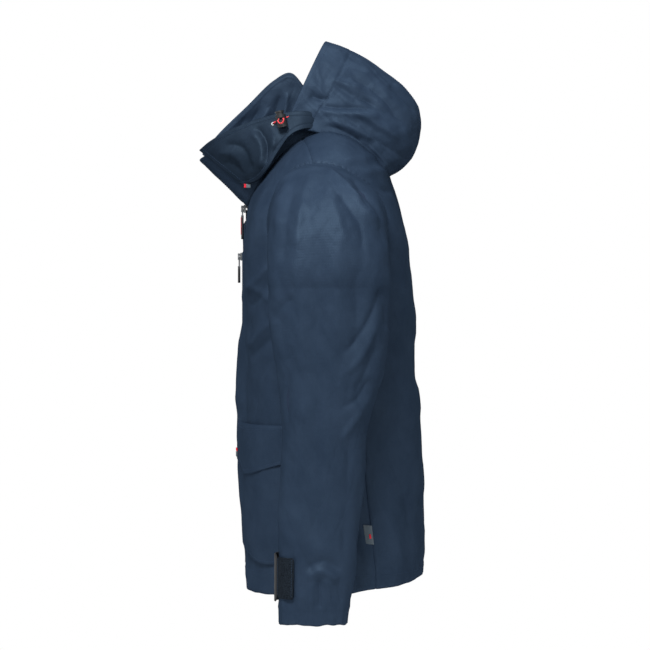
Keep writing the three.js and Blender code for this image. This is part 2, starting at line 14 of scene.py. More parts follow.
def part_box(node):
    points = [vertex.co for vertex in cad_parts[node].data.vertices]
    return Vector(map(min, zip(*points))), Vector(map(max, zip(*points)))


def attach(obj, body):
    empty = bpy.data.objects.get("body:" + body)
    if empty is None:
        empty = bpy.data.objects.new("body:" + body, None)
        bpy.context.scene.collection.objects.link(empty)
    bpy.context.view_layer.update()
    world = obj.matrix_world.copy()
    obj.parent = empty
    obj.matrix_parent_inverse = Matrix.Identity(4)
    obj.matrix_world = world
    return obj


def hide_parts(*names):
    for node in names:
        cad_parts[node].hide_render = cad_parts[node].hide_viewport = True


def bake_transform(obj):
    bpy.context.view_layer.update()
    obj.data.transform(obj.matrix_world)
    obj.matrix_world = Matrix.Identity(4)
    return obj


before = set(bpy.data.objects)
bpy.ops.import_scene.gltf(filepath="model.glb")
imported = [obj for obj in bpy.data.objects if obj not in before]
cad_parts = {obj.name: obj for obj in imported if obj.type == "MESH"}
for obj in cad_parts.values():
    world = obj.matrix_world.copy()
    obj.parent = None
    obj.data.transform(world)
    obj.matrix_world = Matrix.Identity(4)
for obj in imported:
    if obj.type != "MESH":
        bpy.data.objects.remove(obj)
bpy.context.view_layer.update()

MM = 0.001
SEED = 7

# ---- the body's sizes, as the CAD has them ----
HEM_Z = -690
CHEST_Z = -186
HALF_WIDTH = 220
BODY_CENTRE_Y = 15
FRONT_DEPTH = 132
CHEST_SQUARENESS = 3.6
HEM_SQUARENESS = 2.7
SHOULDER_FULLNESS = 0.15
NECK_HALF_WIDTH = 80
NECK_FRONT_Y = -113
NECK_SIDE_Y = -20
NECK_BACK_Y = 48
NECK_DROP = 120
SIDE_SEAM_ANGLE = 113
SHOULDER_SEAM_ANGLE = 84
ZIP_EDGE_ANGLE = 3.67
ZIP_PLANE_Y = BODY_CENTRE_Y - FRONT_DEPTH

ARMHOLE_RADIUS = 88
ARMHOLE_Y = 8
ARMHOLE_Z = -153
SHOULDER_X = 226
UNDERARM_BEND = 8
CUFF_Z = -731
BEND_Z = ARMHOLE_Z - ARMHOLE_RADIUS - UNDERARM_BEND

SHELL = 2.4  # thickness of the shell's cloth
LINING = 1.2
FACED = 3.0  # cloth with a facing, on the collar and the wings
OUTSIDE = SHELL / 2 + 0.1  # from the middle of the shell's cloth to its stitches
FACED_OUTSIDE = FACED / 2 + 0.1
CORD_DIAMETER = 2.0


# ---- camera ----
def make_camera():
    data = bpy.data.cameras.new("camera")
    data.sensor_width = 36
    data.lens = 142.9
    data.clip_end = 20
    camera = bpy.data.objects.new("camera", data)
    camera.location = (4.0, 0.00465, -0.302)
    camera.rotation_euler = (math.pi / 2, 0, math.pi / 2)
    bpy.context.collection.objects.link(camera)
    bpy.context.scene.camera = camera


make_camera()


# ---- curves and surfaces ----
def spline(pairs):
    """A smooth curve through (place, value) pairs, read at any place."""
    at, value = np.array(pairs, float).T
    slope = np.gradient(value, at)

    def read(place):
        place = np.clip(place, at[0], at[-1])
        k = np.clip(np.searchsorted(at, place) - 1, 0, len(at) - 2)
        width = at[k + 1] - at[k]
        t = (place - at[k]) / width
        rise = (3 - 2 * t) * t**2
        ends = value[k] + (value[k + 1] - value[k]) * rise
        return ends + width * (t * (1 - t) ** 2 * slope[k] - t**2 * (1 - t) * slope[k + 1])

    return read


class Curve:
    """A centripetal Catmull-Rom curve through points."""

    def __init__(self, points):
        self.points = np.array(points, float)
        share = np.linspace(0, 1, 300)
        dense = self.at(share)
        steps = np.linalg.norm(np.diff(dense, axis=0), axis=1)
        self.shares = share
        self.lengths = np.concatenate([[0], np.cumsum(steps)])

    def at(self, share):
        """The point at a share of the way, counted in control points."""
        p = self.points
        p = np.vstack([2 * p[0] - p[1], p, 2 * p[-1] - p[-2]])
        place = np.clip(np.asarray(share, float), 0, 1) * (len(self.points) - 1)
        k = np.minimum(place.astype(int), len(self.points) - 2)
        t = (place - k)[..., None]
        a, b, c, d = p[k], p[k + 1], p[k + 2], p[k + 3]
        step = [np.linalg.norm(one, axis=-1, keepdims=True) ** 0.5 for one in (b - a, c - b, d - c)]
        out = (b - a) / step[0] - (c - a) / (step[0] + step[1]) + (c - b) / step[1]
        into = (c - b) / step[1] - (d - b) / (step[1] + step[2]) + (d - c) / step[2]
        out, into = out * step[1], into * step[1]
        return (
            b
            + out * t
            + (3 * (c - b) - 2 * out - into) * t**2
            + (2 * (b - c) + out + into) * t**3
        )

    def along(self, share):
        """The point at a share of the curve's length."""
        wanted = np.clip(np.asarray(share, float), 0, 1) * self.lengths[-1]
        return self.at(np.interp(wanted, self.lengths, self.shares))


def lerp(a, b, t):
    return a + (b - a) * t


def smoothstep(value, low, high):
    t = np.clip((value - low) / (high - low), 0, 1)
    return t * t * (3 - 2 * t)


def superellipse(angle, power):
    s, c = np.sin(angle), np.cos(angle)
    r = (np.abs(s) ** power + np.abs(c) ** power) ** (-1 / power)
    return r * s, r * c


def stack(x, y, z):
    return np.stack(np.broadcast_arrays(x, y, z), axis=-1).astype(float)


back_y = spline([
    (-700, 152), (-690, 153), (-610, 158), (-496, 153), (-418, 149), (-341, 143), (-263, 137),
    (-186, 130),
])
belly = spline([
    (-710, -18), (-690, -12), (-675, -8), (-643, -1), (-573, 6), (-496, 10), (-418, 11), (-341, 8), (-286, 2),
    (-240, 0), (-186, 0),
])


def body_ring(angle, z):
    power = lerp(HEM_SQUARENESS, CHEST_SQUARENESS, (z - HEM_Z) / (CHEST_Z - HEM_Z))
    side, forward = superellipse(angle, power)
    depth = np.where(forward > 0, FRONT_DEPTH, back_y(z) - BODY_CENTRE_Y)
    turn = np.degrees(np.minimum(angle, 2 * math.pi - angle))
    beside = smoothstep(turn, 3, 7) * (1 - smoothstep(turn, 11, 26))
    return stack(HALF_WIDTH * side, BODY_CENTRE_Y - depth * forward - belly(z) * beside, z)


def neck_ring(angle):
    s, c = np.sin(angle), np.cos(angle)
    reach = np.where(c > 0, NECK_SIDE_Y - NECK_FRONT_Y, NECK_BACK_Y - NECK_SIDE_Y)
    return stack(
        NECK_HALF_WIDTH * np.sign(s) * np.abs(s) ** 0.65,
        NECK_SIDE_Y - reach * c,
        -NECK_DROP * ((1 + c) / 2) ** 3,
    )


def body_point(angle, height):
    """Hem at 0, chest at 1, neckline at 2."""
    angle, height = np.broadcast_arrays(np.asarray(angle, float), np.asarray(height, float))
    low = body_ring(angle, lerp(HEM_Z, CHEST_Z, np.minimum(height, 1)))
    t = np.maximum(height - 1, 0)[..., None]
    neck = neck_ring(angle)
    front = (1 + np.cos(angle)) / 2
    crown = stack(
        low[..., 0] * (1 + SHOULDER_FULLNESS * np.sin(angle) ** 2),
        lerp(low[..., 1], neck[..., 1], 0.3),
        -36 - 114 * front**4 - 26 * np.sin(2 * angle) ** 2,
    )
    return low * (1 - t) ** 2 + crown * 2 * t * (1 - t) + neck * t**2


def height_at(z):
    return (z - HEM_Z) / (CHEST_Z - HEM_Z)


seam_lean = spline([
    (-710, 3), (-679, 2.6), (-610, -0.4), (-540, -3.3), (-480, -4.4), (-400, -3), (-300, 0), (-240, 0),
])


def seam_angle(height):
    share = smoothstep(height, height_at(ARMHOLE_Z - ARMHOLE_RADIUS), 1.45)
    lean = seam_lean(lerp(HEM_Z, CHEST_Z, height))
    return np.radians(lerp(SIDE_SEAM_ANGLE, SHOULDER_SEAM_ANGLE, share) + lean)


# ---- making meshes ----
def normals(points, closed=False):
    if closed:
        wide = np.concatenate([points[:, -1:], points, points[:, :1]], axis=1)
        along = (wide[:, 2:] - wide[:, :-2]) / 2
    else:
        along = np.gradient(points, axis=1)
    up = np.gradient(points, axis=0)
    n = np.cross(along, up)
    return n / np.maximum(np.linalg.norm(n, axis=-1, keepdims=True), 1e-9)


def lifted(points, height, closed=False):
    height = np.asarray(height, float)
    if height.ndim:
        height = height[..., None]
    return points + normals(points, closed) * height


def new_mesh(name, verts, faces, uv=None, smooth=True):
    """A mesh object from points in millimetres."""
    mesh = bpy.data.meshes.new(name)
    mesh.from_pydata((np.asarray(verts) * MM).tolist(), [], [list(map(int, f)) for f in faces])
    mesh.update()
    if uv is not None:
        loops = np.zeros(len(mesh.loops), int)
        mesh.loops.foreach_get("vertex_index", loops)
        layer = mesh.uv_layers.new(name="cloth")
        layer.data.foreach_set("uv", (np.asarray(uv)[loops] * MM).astype(np.float32).ravel())
    mesh.polygons.foreach_set("use_smooth", [smooth] * len(mesh.polygons))
    piece = bpy.data.objects.new(name, mesh)
    bpy.context.collection.objects.link(piece)
    return piece


def grid_quads(rows, cols, closed):
    index = np.arange(rows * cols).reshape(rows, cols)
    left = index if closed else index[:, :-1]
    right = np.roll(index, -1, axis=1) if closed else index[:, 1:]
    return np.stack([left[:-1], right[:-1], right[1:], left[1:]], axis=-1).reshape(-1, 4)


def loft_faces(first, rings, sides):
    """The faces of a loft whose points start at first: its walls, then its two ends."""
    faces = []
    for ring in range(rings - 1):
        for k in range(sides):
            a, b = first + ring * sides + k, first + ring * sides + (k + 1) % sides
            faces.append([a, b, b + sides, a + sides])
    last = first + (rings - 1) * sides
    faces.append([first + k for k in reversed(range(sides))])
    faces.append([last + k for k in range(sides)])
    return faces


def rim_edges(quads, count):
    edges = np.concatenate([quads[:, [k, (k + 1) % 4]] for k in range(4)])
    there = edges[:, 0] * count + edges[:, 1]
    back = edges[:, 1] * count + edges[:, 0]
    return edges[~np.isin(there, back)]


def bend(piece):
    """Unparents a dressed piece and bakes its world transform into its mesh."""
    piece.parent = None
    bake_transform(piece)


def cloth(name, points, thickness, closed=False, keep=None):
    """A piece of cloth on a grid of points, rows up and columns round, with rounded edges."""
    rows, cols = points.shape[:2]
    count = rows * cols
    quads = grid_quads(rows, cols, closed)
    if keep is not None:
        quads = quads[keep.reshape(-1)]
    n = normals(points, closed).reshape(-1, 3)
    middle = points.reshape(-1, 3)
    rim = rim_edges(quads, count)
    out = np.zeros((count, 3))
    away = np.cross(middle[rim[:, 1]] - middle[rim[:, 0]], n[rim[:, 0]])
    for end in (0, 1):
        np.add.at(out, rim[:, end], away)
    out /= np.maximum(np.linalg.norm(out, axis=-1, keepdims=True), 1e-9)
    verts = np.concatenate([
        middle + n * thickness / 2,
        middle - n * thickness / 2,
        middle + out * thickness * 0.4,
    ])
    a, b = rim.T
    faces = np.concatenate([
        quads,
        quads[:, ::-1] + count,
        np.stack([b, a, a + 2 * count, b + 2 * count], axis=1),
        np.stack([b + 2 * count, a + 2 * count, a + count, b + count], axis=1),
    ])
    steps = np.linalg.norm(np.diff(points, axis=1), axis=-1)
    across = np.concatenate([np.zeros((rows, 1)), np.cumsum(steps, axis=1)], axis=1)
    across -= across[:, cols // 2 : cols // 2 + 1]
    rise = np.linalg.norm(np.diff(points, axis=0), axis=-1).mean(axis=1)
    up = np.broadcast_to(np.concatenate([[0], np.cumsum(rise)])[:, None], (rows, cols))
    uv = np.tile(np.stack([across, up], axis=-1).reshape(-1, 2), (3, 1))
    used = np.unique(faces)
    place = np.full(3 * count, -1)
    place[used] = np.arange(len(used))
    return new_mesh(name, verts[used], place[faces], uv[used])


def waves(points, size, seed, octaves=2):
    """Smooth noise between about -1 and 1 over features of this size, which may differ by axis."""
    flat = points.reshape(-1, 3) / np.asarray(size, float) + 13.7 * seed + SEED
    total = np.zeros(len(flat))
    for k in range(octaves):
        total += [noise.noise(Vector(p)) / 2**k for p in (flat * 2.1**k).tolist()]
    return total.reshape(points.shape[:-1])


FOLD_DEPTH = 0.95


def fold(points, path, width, height):
    """How far a soft fold along a path lifts the cloth, seen square to its side. It fades out at its ends."""
    path = Curve(path).at(np.linspace(0, 1, 4 * len(path) - 3))[:, 1:]
    points = points[..., 1:]
    steps = np.linalg.norm(np.diff(path, axis=0), axis=1)
    before = np.concatenate([[0], np.cumsum(steps)])
    best = np.full(points.shape[:-1], 1e9)
    share = np.zeros(points.shape[:-1])
    for k, step in enumerate(steps):
        direction = (path[k + 1] - path[k]) / step
        t = np.clip((points - path[k]) @ direction, 0, step)
        distance = np.linalg.norm(points - path[k] - t[..., None] * direction, axis=-1)
        nearer = distance < best
        best = np.where(nearer, distance, best)
        share = np.where(nearer, (before[k] + t) / before[-1], share)
    ends = np.clip(np.minimum(share, 1 - share) * 5, 0, 1)
    return FOLD_DEPTH * height * np.exp(-((best / width) ** 1.5)) * (0.15 + 0.85 * np.sin(ends * math.pi / 2))


def creases(points, size, seed):
    """Thin soft ridges that wander over the cloth, from 0 to about 1."""
    return np.clip(1 - 3.2 * np.abs(waves(points, size, seed)), 0, 1) ** 2


def slanted(points, lean):
    """The points sheared, so that noise read at them runs at a slant to the cloth's length."""
    return stack(points[..., 0], points[..., 1] + lean * points[..., 2], points[..., 2])


def groove(distance, width, depth):
    return -depth * np.exp(-((distance / width) ** 2))


# ---- stitching ----
STITCH_LENGTH = 2.6
STITCH_PITCH = 3.6
STITCH_RADIUS = 0.3
STITCH_SIDES = 6
SHORTEST_STITCH = 0.5
# along the stitch, width and height, as shares of its length, radius and radius
STITCH_PROFILE = ((0, 0.45, -0.25), (0.3, 1, 0.1), (0.7, 1, 0.1), (1, 0.45, -0.25))
stitch_runs = {}  # by body


def stitch(body, line, outward):
    """Adds a run of stitches along a line of points, with the cloth's outward direction at each."""
    stitch_runs.setdefault(body, []).append((np.asarray(line, float), np.asarray(outward, float)))


def stitch_mesh(body, material):
    verts, faces = [], []
    for line, outward in stitch_runs[body]:
        steps = np.linalg.norm(np.diff(line, axis=0), axis=1)
        length = np.concatenate([[0], np.cumsum(steps)])
        starts = np.arange(STITCH_PITCH, length[-1] - STITCH_PITCH, STITCH_PITCH)
        for start in starts:
            ends = [np.array([np.interp(start + d, length, line[:, k]) for k in range(3)])
                    for d in (0, STITCH_LENGTH)]
            up = np.array([np.interp(start, length, outward[:, k]) for k in range(3)])
            along = ends[1] - ends[0]
            size = np.linalg.norm(along)
            if size < SHORTEST_STITCH:
                continue
            along /= size
            side = np.cross(up, along)
            side /= max(np.linalg.norm(side), 1e-9)
            up = np.cross(along, side)
            first = len(verts)
            for share, scale, rise in STITCH_PROFILE:
                centre = ends[0] + along * size * share + up * STITCH_RADIUS * rise
                for k in range(STITCH_SIDES):
                    turn = 2 * math.pi * k / STITCH_SIDES
                    offset = side * math.cos(turn) + up * math.sin(turn)
                    verts.append(centre + offset * STITCH_RADIUS * scale)
            faces += loft_faces(first, len(STITCH_PROFILE), STITCH_SIDES)
    dress(new_mesh("stitching_" + body, verts, faces), material, body, "shell_cloth")


# ---- materials ----
def new_material(name):
    material = bpy.data.materials.new(name)
    material.use_nodes = True
    tree = material.node_tree
    shader = tree.nodes["Principled BSDF"]
    return material, tree, shader


def node(tree, kind, **inputs):
    made = tree.nodes.new(kind)
    for key, value in inputs.items():
        made.inputs[key.replace("_", " ")].default_value = value
    return made


def colour_ramp(tree, factor, low, high, places=(0.3, 0.7)):
    ramp = tree.nodes.new("ShaderNodeValToRGB")
    for element, place, colour in zip(ramp.color_ramp.elements, places, (low, high)):
        element.position = place
        element.color = (*colour, 1)
    tree.links.new(factor, ramp.inputs["Fac"])
    return ramp.outputs["Color"]


def add_bump(tree, height, strength, depth):
    """The normal of a surface that rises and falls with height, depth metres in all."""
    bump = node(tree, "ShaderNodeBump", Strength=strength, Distance=depth)
    tree.links.new(height, bump.inputs["Height"])
    return bump


def vary_roughness(tree, shader, factor, low, high):
    rough = tree.nodes.new("ShaderNodeMapRange")
    rough.inputs["To Min"].default_value = low
    rough.inputs["To Max"].default_value = high
    tree.links.new(factor, rough.inputs["Value"])
    tree.links.new(rough.outputs["Result"], shader.inputs["Roughness"])


def math_node(tree, operation, a, b):
    made = tree.nodes.new("ShaderNodeMath")
    made.operation = operation
    for k, value in enumerate((a, b)):
        if isinstance(value, (int, float)):
            made.inputs[k].default_value = value
        else:
            tree.links.new(value, made.inputs[k])
    return made.outputs[0]


def woven(name, low, high, thread=1.1, roughness=0.52, sheen=0.013, weave=0.3, crumple=0.5):
    """Woven cloth: a plain weave in the cloth's own flat coordinates, crumple and mottling."""
    material, tree, shader = new_material(name)
    flat = tree.nodes.new("ShaderNodeTexCoord")
    solid = flat.outputs["Object"]
    mottle = node(tree, "ShaderNodeTexNoise", Scale=22.0, Detail=5.0, Roughness=0.6)
    tree.links.new(solid, mottle.inputs["Vector"])
    tree.links.new(colour_ramp(tree, mottle.outputs["Fac"], low, high), shader.inputs["Base Color"])
    heights = []
    for direction in ("X", "Y"):
        wave = node(tree, "ShaderNodeTexWave", Scale=1000 / thread / 6.2832, Distortion=0.6)
        wave.bands_direction = direction
        wave.inputs["Detail Scale"].default_value = 1.5
        tree.links.new(flat.outputs["UV"], wave.inputs["Vector"])
        heights.append(wave.outputs["Fac"])
    threads = math_node(tree, "MULTIPLY", heights[0], heights[1])
    creases = node(tree, "ShaderNodeTexNoise", Scale=55.0, Detail=7.0, Roughness=0.55, Distortion=0.7)
    tree.links.new(solid, creases.inputs["Vector"])
    fine = add_bump(tree, threads, weave, 0.0003)
    coarse = add_bump(tree, creases.outputs["Fac"], crumple, 0.0016)
    tree.links.new(fine.outputs["Normal"], coarse.inputs["Normal"])
    tree.links.new(coarse.outputs["Normal"], shader.inputs["Normal"])
    vary_roughness(tree, shader, mottle.outputs["Fac"], roughness - 0.07, roughness + 0.07)
    shader.inputs["Specular IOR Level"].default_value = 0.0
    satin = node(tree, "ShaderNodeBsdfGlossy", Color=(0.5, 0.74, 1, 1), Roughness=roughness)
    tree.links.new(coarse.outputs["Normal"], satin.inputs["Normal"])
    blend = tree.nodes.new("ShaderNodeMixShader")
    blend.inputs["Fac"].default_value = sheen
    tree.links.new(shader.outputs[0], blend.inputs[1])
    tree.links.new(satin.outputs[0], blend.inputs[2])
    tree.links.new(blend.outputs[0], tree.nodes["Material Output"].inputs["Surface"])
    return material


def moulded(name, low, high, roughness, metallic=0.0):
    """Moulded plastic or plated metal with fine grain and handling wear."""
    material, tree, shader = new_material(name)
    where = tree.nodes.new("ShaderNodeTexCoord").outputs["Object"]
    wear = node(tree, "ShaderNodeTexNoise", Scale=160.0, Detail=6.0, Roughness=0.65)
    tree.links.new(where, wear.inputs["Vector"])
    tree.links.new(colour_ramp(tree, wear.outputs["Fac"], low, high), shader.inputs["Base Color"])
    pitted = node(tree, "ShaderNodeTexNoise", Scale=900.0, Detail=3.0)
    tree.links.new(where, pitted.inputs["Vector"])
    bump = add_bump(tree, pitted.outputs["Fac"], 0.15, 0.0003)
    tree.links.new(bump.outputs["Normal"], shader.inputs["Normal"])
    vary_roughness(tree, shader, wear.outputs["Fac"], roughness - 0.1, roughness + 0.12)
    shader.inputs["Metallic"].default_value = metallic
    return material


def pile(name, low, high):
    """Brushed loop pile: a dense fuzz with no gloss."""
    material, tree, shader = new_material(name)
    where = tree.nodes.new("ShaderNodeTexCoord").outputs["Object"]
    loops = tree.nodes.new("ShaderNodeTexVoronoi")
    loops.inputs["Scale"].default_value = 900.0
    tree.links.new(where, loops.inputs["Vector"])
    tree.links.new(colour_ramp(tree, loops.outputs["Distance"], high, low, (0.1, 0.8)),
                   shader.inputs["Base Color"])
    bump = add_bump(tree, loops.outputs["Distance"], 0.8, 0.0008)
    tree.links.new(bump.outputs["Normal"], shader.inputs["Normal"])
    shader.inputs["Roughness"].default_value = 0.95
    shader.inputs["Specular IOR Level"].default_value = 0.03
    return material


def braid(name, low, high, diameter):
    """Braided cord: crossing diagonal strands."""
    material, tree, shader = new_material(name)
    where = tree.nodes.new("ShaderNodeTexCoord").outputs["Object"]
    strands = node(tree, "ShaderNodeTexWave", Scale=1000 / diameter / 3, Distortion=2.5)
    strands.bands_direction = "DIAGONAL"
    tree.links.new(where, strands.inputs["Vector"])
    tree.links.new(colour_ramp(tree, strands.outputs["Fac"], low, high, (0.1, 0.7)),
                   shader.inputs["Base Color"])
    bump = add_bump(tree, strands.outputs["Fac"], 0.5, 0.0004)
    tree.links.new(bump.outputs["Normal"], shader.inputs["Normal"])
    shader.inputs["Roughness"].default_value = 0.6
    shader.inputs["Sheen Weight"].default_value = 0.2
    return material


NAVY = woven("navy_shell", (0.0135, 0.0235, 0.0430), (0.0185, 0.0310, 0.0545))
# Painted shade: a darker copy of the shell cloth, for the near cheek wing and the hood's base, which lie in
# shade under the hood.
NAVY_PAINTED_SHADE = woven("navy_shell_shade", (0.0080, 0.0140, 0.0240), (0.0115, 0.0190, 0.0325))
LINING_CLOTH = woven("lining", (0.012, 0.019, 0.036), (0.018, 0.027, 0.05), thread=0.9, roughness=0.5,
                     crumple=0.25)
THREAD = woven("thread", (0.02, 0.035, 0.065), (0.03, 0.05, 0.09), roughness=0.5, crumple=0.0)
TAPE = woven("black_tape", (0.006, 0.007, 0.009), (0.012, 0.013, 0.016), thread=1.6, roughness=0.7,
             weave=0.6, crumple=0.1)
LABEL = woven("label", (0.07, 0.09, 0.105), (0.12, 0.14, 0.155), thread=0.9, roughness=0.8, weave=0.6,
              crumple=0.1)
RED_WOVEN = woven("red_binding", (0.5, 0.012, 0.02), (0.62, 0.02, 0.035), thread=1.2, weave=0.6,
                  crumple=0.1)
PLASTIC = moulded("black_plastic", (0.004, 0.0045, 0.006), (0.009, 0.0105, 0.014), roughness=0.42)
METAL = moulded("plated_metal", (0.10, 0.11, 0.12), (0.18, 0.19, 0.20), roughness=0.4, metallic=1.0)
RUBBER = moulded("matt_rubber", (0.004, 0.005, 0.007), (0.008, 0.010, 0.013), roughness=0.75)
PILE = pile("loop_pile", (0.004, 0.006, 0.009), (0.021, 0.029, 0.040))
RED_BRAID = braid("red_braid", (0.35, 0.006, 0.012), (0.75, 0.02, 0.035), CORD_DIAMETER)


def dress(piece, material, body, slot, *replaced):
    if piece.data.materials:
        piece.data.materials[0] = material
    else:
        piece.data.materials.append(material)
    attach(piece, body)
    if replaced:
        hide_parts(*replaced)


# ---- hood cords, made first ----
# One strand goes from the front eyelet through the lock, loops, and comes back to the rear eyelet.
FAR_LOCK_INSET = 15.5
CORD_ROUTE = np.array([
    [103.6, -73.6, 2.6], [105.2, -72.6, 3.2], [106.0, -70.4, 4.4], [106.6, -68.0, 5.6],
    [107.7, -65.9, 6.6], [110, -64.8, 7.2], [114, -64.6, 7.3], [121, -64.6, 7.3], [125.2, -65.0, 6.9],
    [127.6, -65.9, 4.6], [128.2, -64.6, 1.8], [128.3, -61.7, 0.6], [128.2, -58.8, 2.2],
    [127.6, -57.5, 5.6], [125.2, -58.0, 8.2], [121, -58.4, 8.7], [114, -58.4, 8.7],
    [110, -58.2, 8.8], [107.7, -57.2, 9.4], [106.6, -55.2, 10.4], [106.1, -52.8, 11.4],
    [105.2, -50.8, 12.4], [103.6, -50.0, 12.9],
])


def tube(name, route, radius, sides=12, steps=8):
    """A round tube along a route of points, with its ends closed."""
    line = Curve(route).at(np.linspace(0, 1, steps * (len(route) - 1) + 1))
    tangent = np.gradient(line, axis=0)
    tangent /= np.linalg.norm(tangent, axis=1, keepdims=True)
    side = np.cross(tangent[0], [0, 0, 1])
    verts = []
    for centre, along in zip(line, tangent):
        side = side - along * (side @ along)
        side /= np.linalg.norm(side)
        other = np.cross(along, side)
        for k in range(sides):
            turn = 2 * math.pi * k / sides
            verts.append(centre + radius * (side * math.cos(turn) + other * math.sin(turn)))
    return new_mesh(name, verts, loft_faces(0, len(line), sides)), line


def make_hood_cord(side):
    sign = 1 if side == "left" else -1
    route = CORD_ROUTE.copy()
    if sign < 0:
        route[:, 0] = -(route[:, 0] - FAR_LOCK_INSET)
    piece, line = tube(side + "_cord", route, CORD_DIAMETER / 2)
    dress(piece, RED_BRAID, "jacket", "red_cord", side + "_hood_cord")


make_hood_cord("left")
make_hood_cord("right")


# ---- the body: fronts, back and lining ----
CHEST_ROWS = 118
SHOULDER_ROWS = 62
HEIGHTS = np.concatenate([
    np.linspace(0, 1, CHEST_ROWS, endpoint=False), np.linspace(1, 2, SHOULDER_ROWS),
])
HEM_BAND = 24

hem_dip = spline([
    (0, 14), (4, 6), (10, -4), (25, -9), (60, -8), (100, -5), (113, 0), (140, 6), (160, 11), (180, 17),
])


def settle_hem(points, angle):
    """The hem isn't level: it dips at the sides and curls up at the zip and the middle of the back."""
    turn = np.degrees(np.minimum(angle, 2 * math.pi - angle))
    low = np.clip(1 - (points[..., 2] - HEM_Z) / 120, 0, 1) ** 2
    lowered = points.copy()
    lowered[..., 2] += hem_dip(turn) * low + 1.6 * waves(points, (45, 45, 400), 3) * low
    return lowered


def body_relief(points, angle, side):
    """Folds of the worn cloth, in millimetres along its normal."""
    x, y, z = np.moveaxis(points, -1, 0)
    mirrored = points * [side, 1, 1]
    relief = 2.6 * waves(points, (70, 70, 210), 1) * smoothstep(-z, 60, 260)
    relief += 1.1 * waves(points, (32, 32, 90), 2)
    relief += 2.2 * waves(stack(x, y + z * 0.5, z - y * 0.5), (120, 34, 120), 5) * smoothstep(-z, 120, 300)
    relief += 0.7 * creases(slanted(points, 0.35), (90, 50, 150), 6)
    relief += 0.6 * creases(slanted(points, -0.5), (80, 54, 150), 9)
    turn = np.degrees(np.minimum(angle, 2 * math.pi - angle))
    relief *= smoothstep(turn, 3.5, 14)
    for path, width, height in BODY_FOLDS:
        relief += fold(mirrored, path, width, height)
    hem = smoothstep(-(z - HEM_Z), -HEM_BAND - 1.5, -HEM_BAND + 1.5)
    return relief + 0.7 * hem


# On the wearer's left: from the shoulder down the front, beside the sleeve, and across the back.
BODY_FOLDS = [
    ([(150, -84, -105), (128, -106, -170), (112, -120, -230), (104, -124, -300)], 6, 5.0),
    ([(168, -72, -108), (150, -92, -150), (140, -104, -200), (138, -112, -250)], 5, 3.6),
    ([(120, -100, -140), (108, -116, -200), (96, -124, -262)], 6, -3.4),
    ([(190, -76, -215), (168, -98, -240), (140, -114, -256)], 5, 5.6),
    ([(192, -72, -232), (176, -92, -262), (150, -110, -276)], 5, -4.4),
    ([(192, -74, -268), (176, -94, -250), (152, -108, -238)], 5, 3.6),
    ([(194, -74, -296), (172, -96, -322), (146, -112, -334)], 6, 5.2),
    ([(194, -72, -318), (178, -92, -338), (154, -108, -352)], 5, -4.0),
    ([(195, -76, -350), (180, -92, -392), (160, -106, -446)], 7, -4.2),
    ([(170, -98, -270), (152, -110, -330), (146, -116, -410), (146, -114, -470)], 8, -3.8),
    ([(120, -120, -300), (112, -126, -370), (116, -126, -440)], 8, 3.2),
    ([(198, 60, -210), (170, 108, -250), (120, 136, -300)], 11, 5.0),
    ([(200, 84, -230), (180, 112, -290), (140, 132, -350)], 10, -4.4),
    ([(196, 84, -290), (160, 122, -350), (100, 148, -400)], 12, -4.4),
    ([(204, 84, -330), (184, 114, -400), (150, 138, -470)], 10, 4.6),
    ([(206, 84, -420), (170, 130, -500), (120, 150, -560)], 11, 4.2),
    ([(210, 88, -470), (186, 124, -560), (170, 136, -640)], 10, -4.4),
    ([(214, 80, -560), (200, 108, -620), (190, 118, -672)], 8, 3.8),
    ([(120, 138, -150), (70, 140, -230), (40, 146, -330)], 14, 4.0),
    ([(60, 158, -430), (50, 160, -540), (70, 158, -640)], 13, -4.0),
    ([(30, 130, -170), (10, 142, -280), (20, 150, -400)], 16, -3.4),
    ([(150, 100, -70), (168, 70, -76), (184, 50, -90)], 8, 4.4),
    ([(160, 106, -100), (180, 84, -104), (196, 64, -104)], 7, -4.0),
    ([(130, 96, -40), (160, 60, -56), (176, 30, -62)], 8, 3.2),
]


def armhole_reach(y, z):
    """The radius of the armhole's outline towards a place: fuller at the front of the shoulder."""
    turn = np.arctan2(z - ARMHOLE_Z, y - ARMHOLE_Y)
    front = np.exp(-(((turn - 2.2) / 0.42) ** 2))
    back = np.exp(-(((turn - 1.0) / 0.42) ** 2))
    return ARMHOLE_RADIUS + 7.5 * front - 6 * back


def armhole_distance(points):
    away = np.hypot(points[..., 1] - ARMHOLE_Y, points[..., 2] - ARMHOLE_Z)
    reach = armhole_reach(points[..., 1], points[..., 2])
    return np.where(np.abs(points[..., 0]) > 140, away - reach, 1e3)


def cut_armholes(points):
    """Drops the grid's faces inside the armholes and fits the ones beside them to the hole's edge."""
    middle = (points[:-1, :-1] + points[1:, :-1] + points[:-1, 1:] + points[1:, 1:]) / 4
    keep = armhole_distance(middle) > 0
    near = np.zeros(points.shape[:2], bool)
    gone = np.zeros(points.shape[:2], bool)
    for row in (0, 1):
        for col in (0, 1):
            part = (slice(row, row + keep.shape[0]), slice(col, col + keep.shape[1]))
            near[part] |= keep
            gone[part] |= ~keep
    edge = near & gone
    away = points[..., 1:] - [ARMHOLE_Y, ARMHOLE_Z]
    length = np.linalg.norm(away, axis=-1, keepdims=True)
    fitted = points.copy()
    reach = armhole_reach(points[..., 1], points[..., 2])[..., None]
    outline = away / np.maximum(length, 1e-9) * reach + [ARMHOLE_Y, ARMHOLE_Z]
    fitted[..., 1:] = np.where(edge[..., None], outline, points[..., 1:])
    return fitted, keep


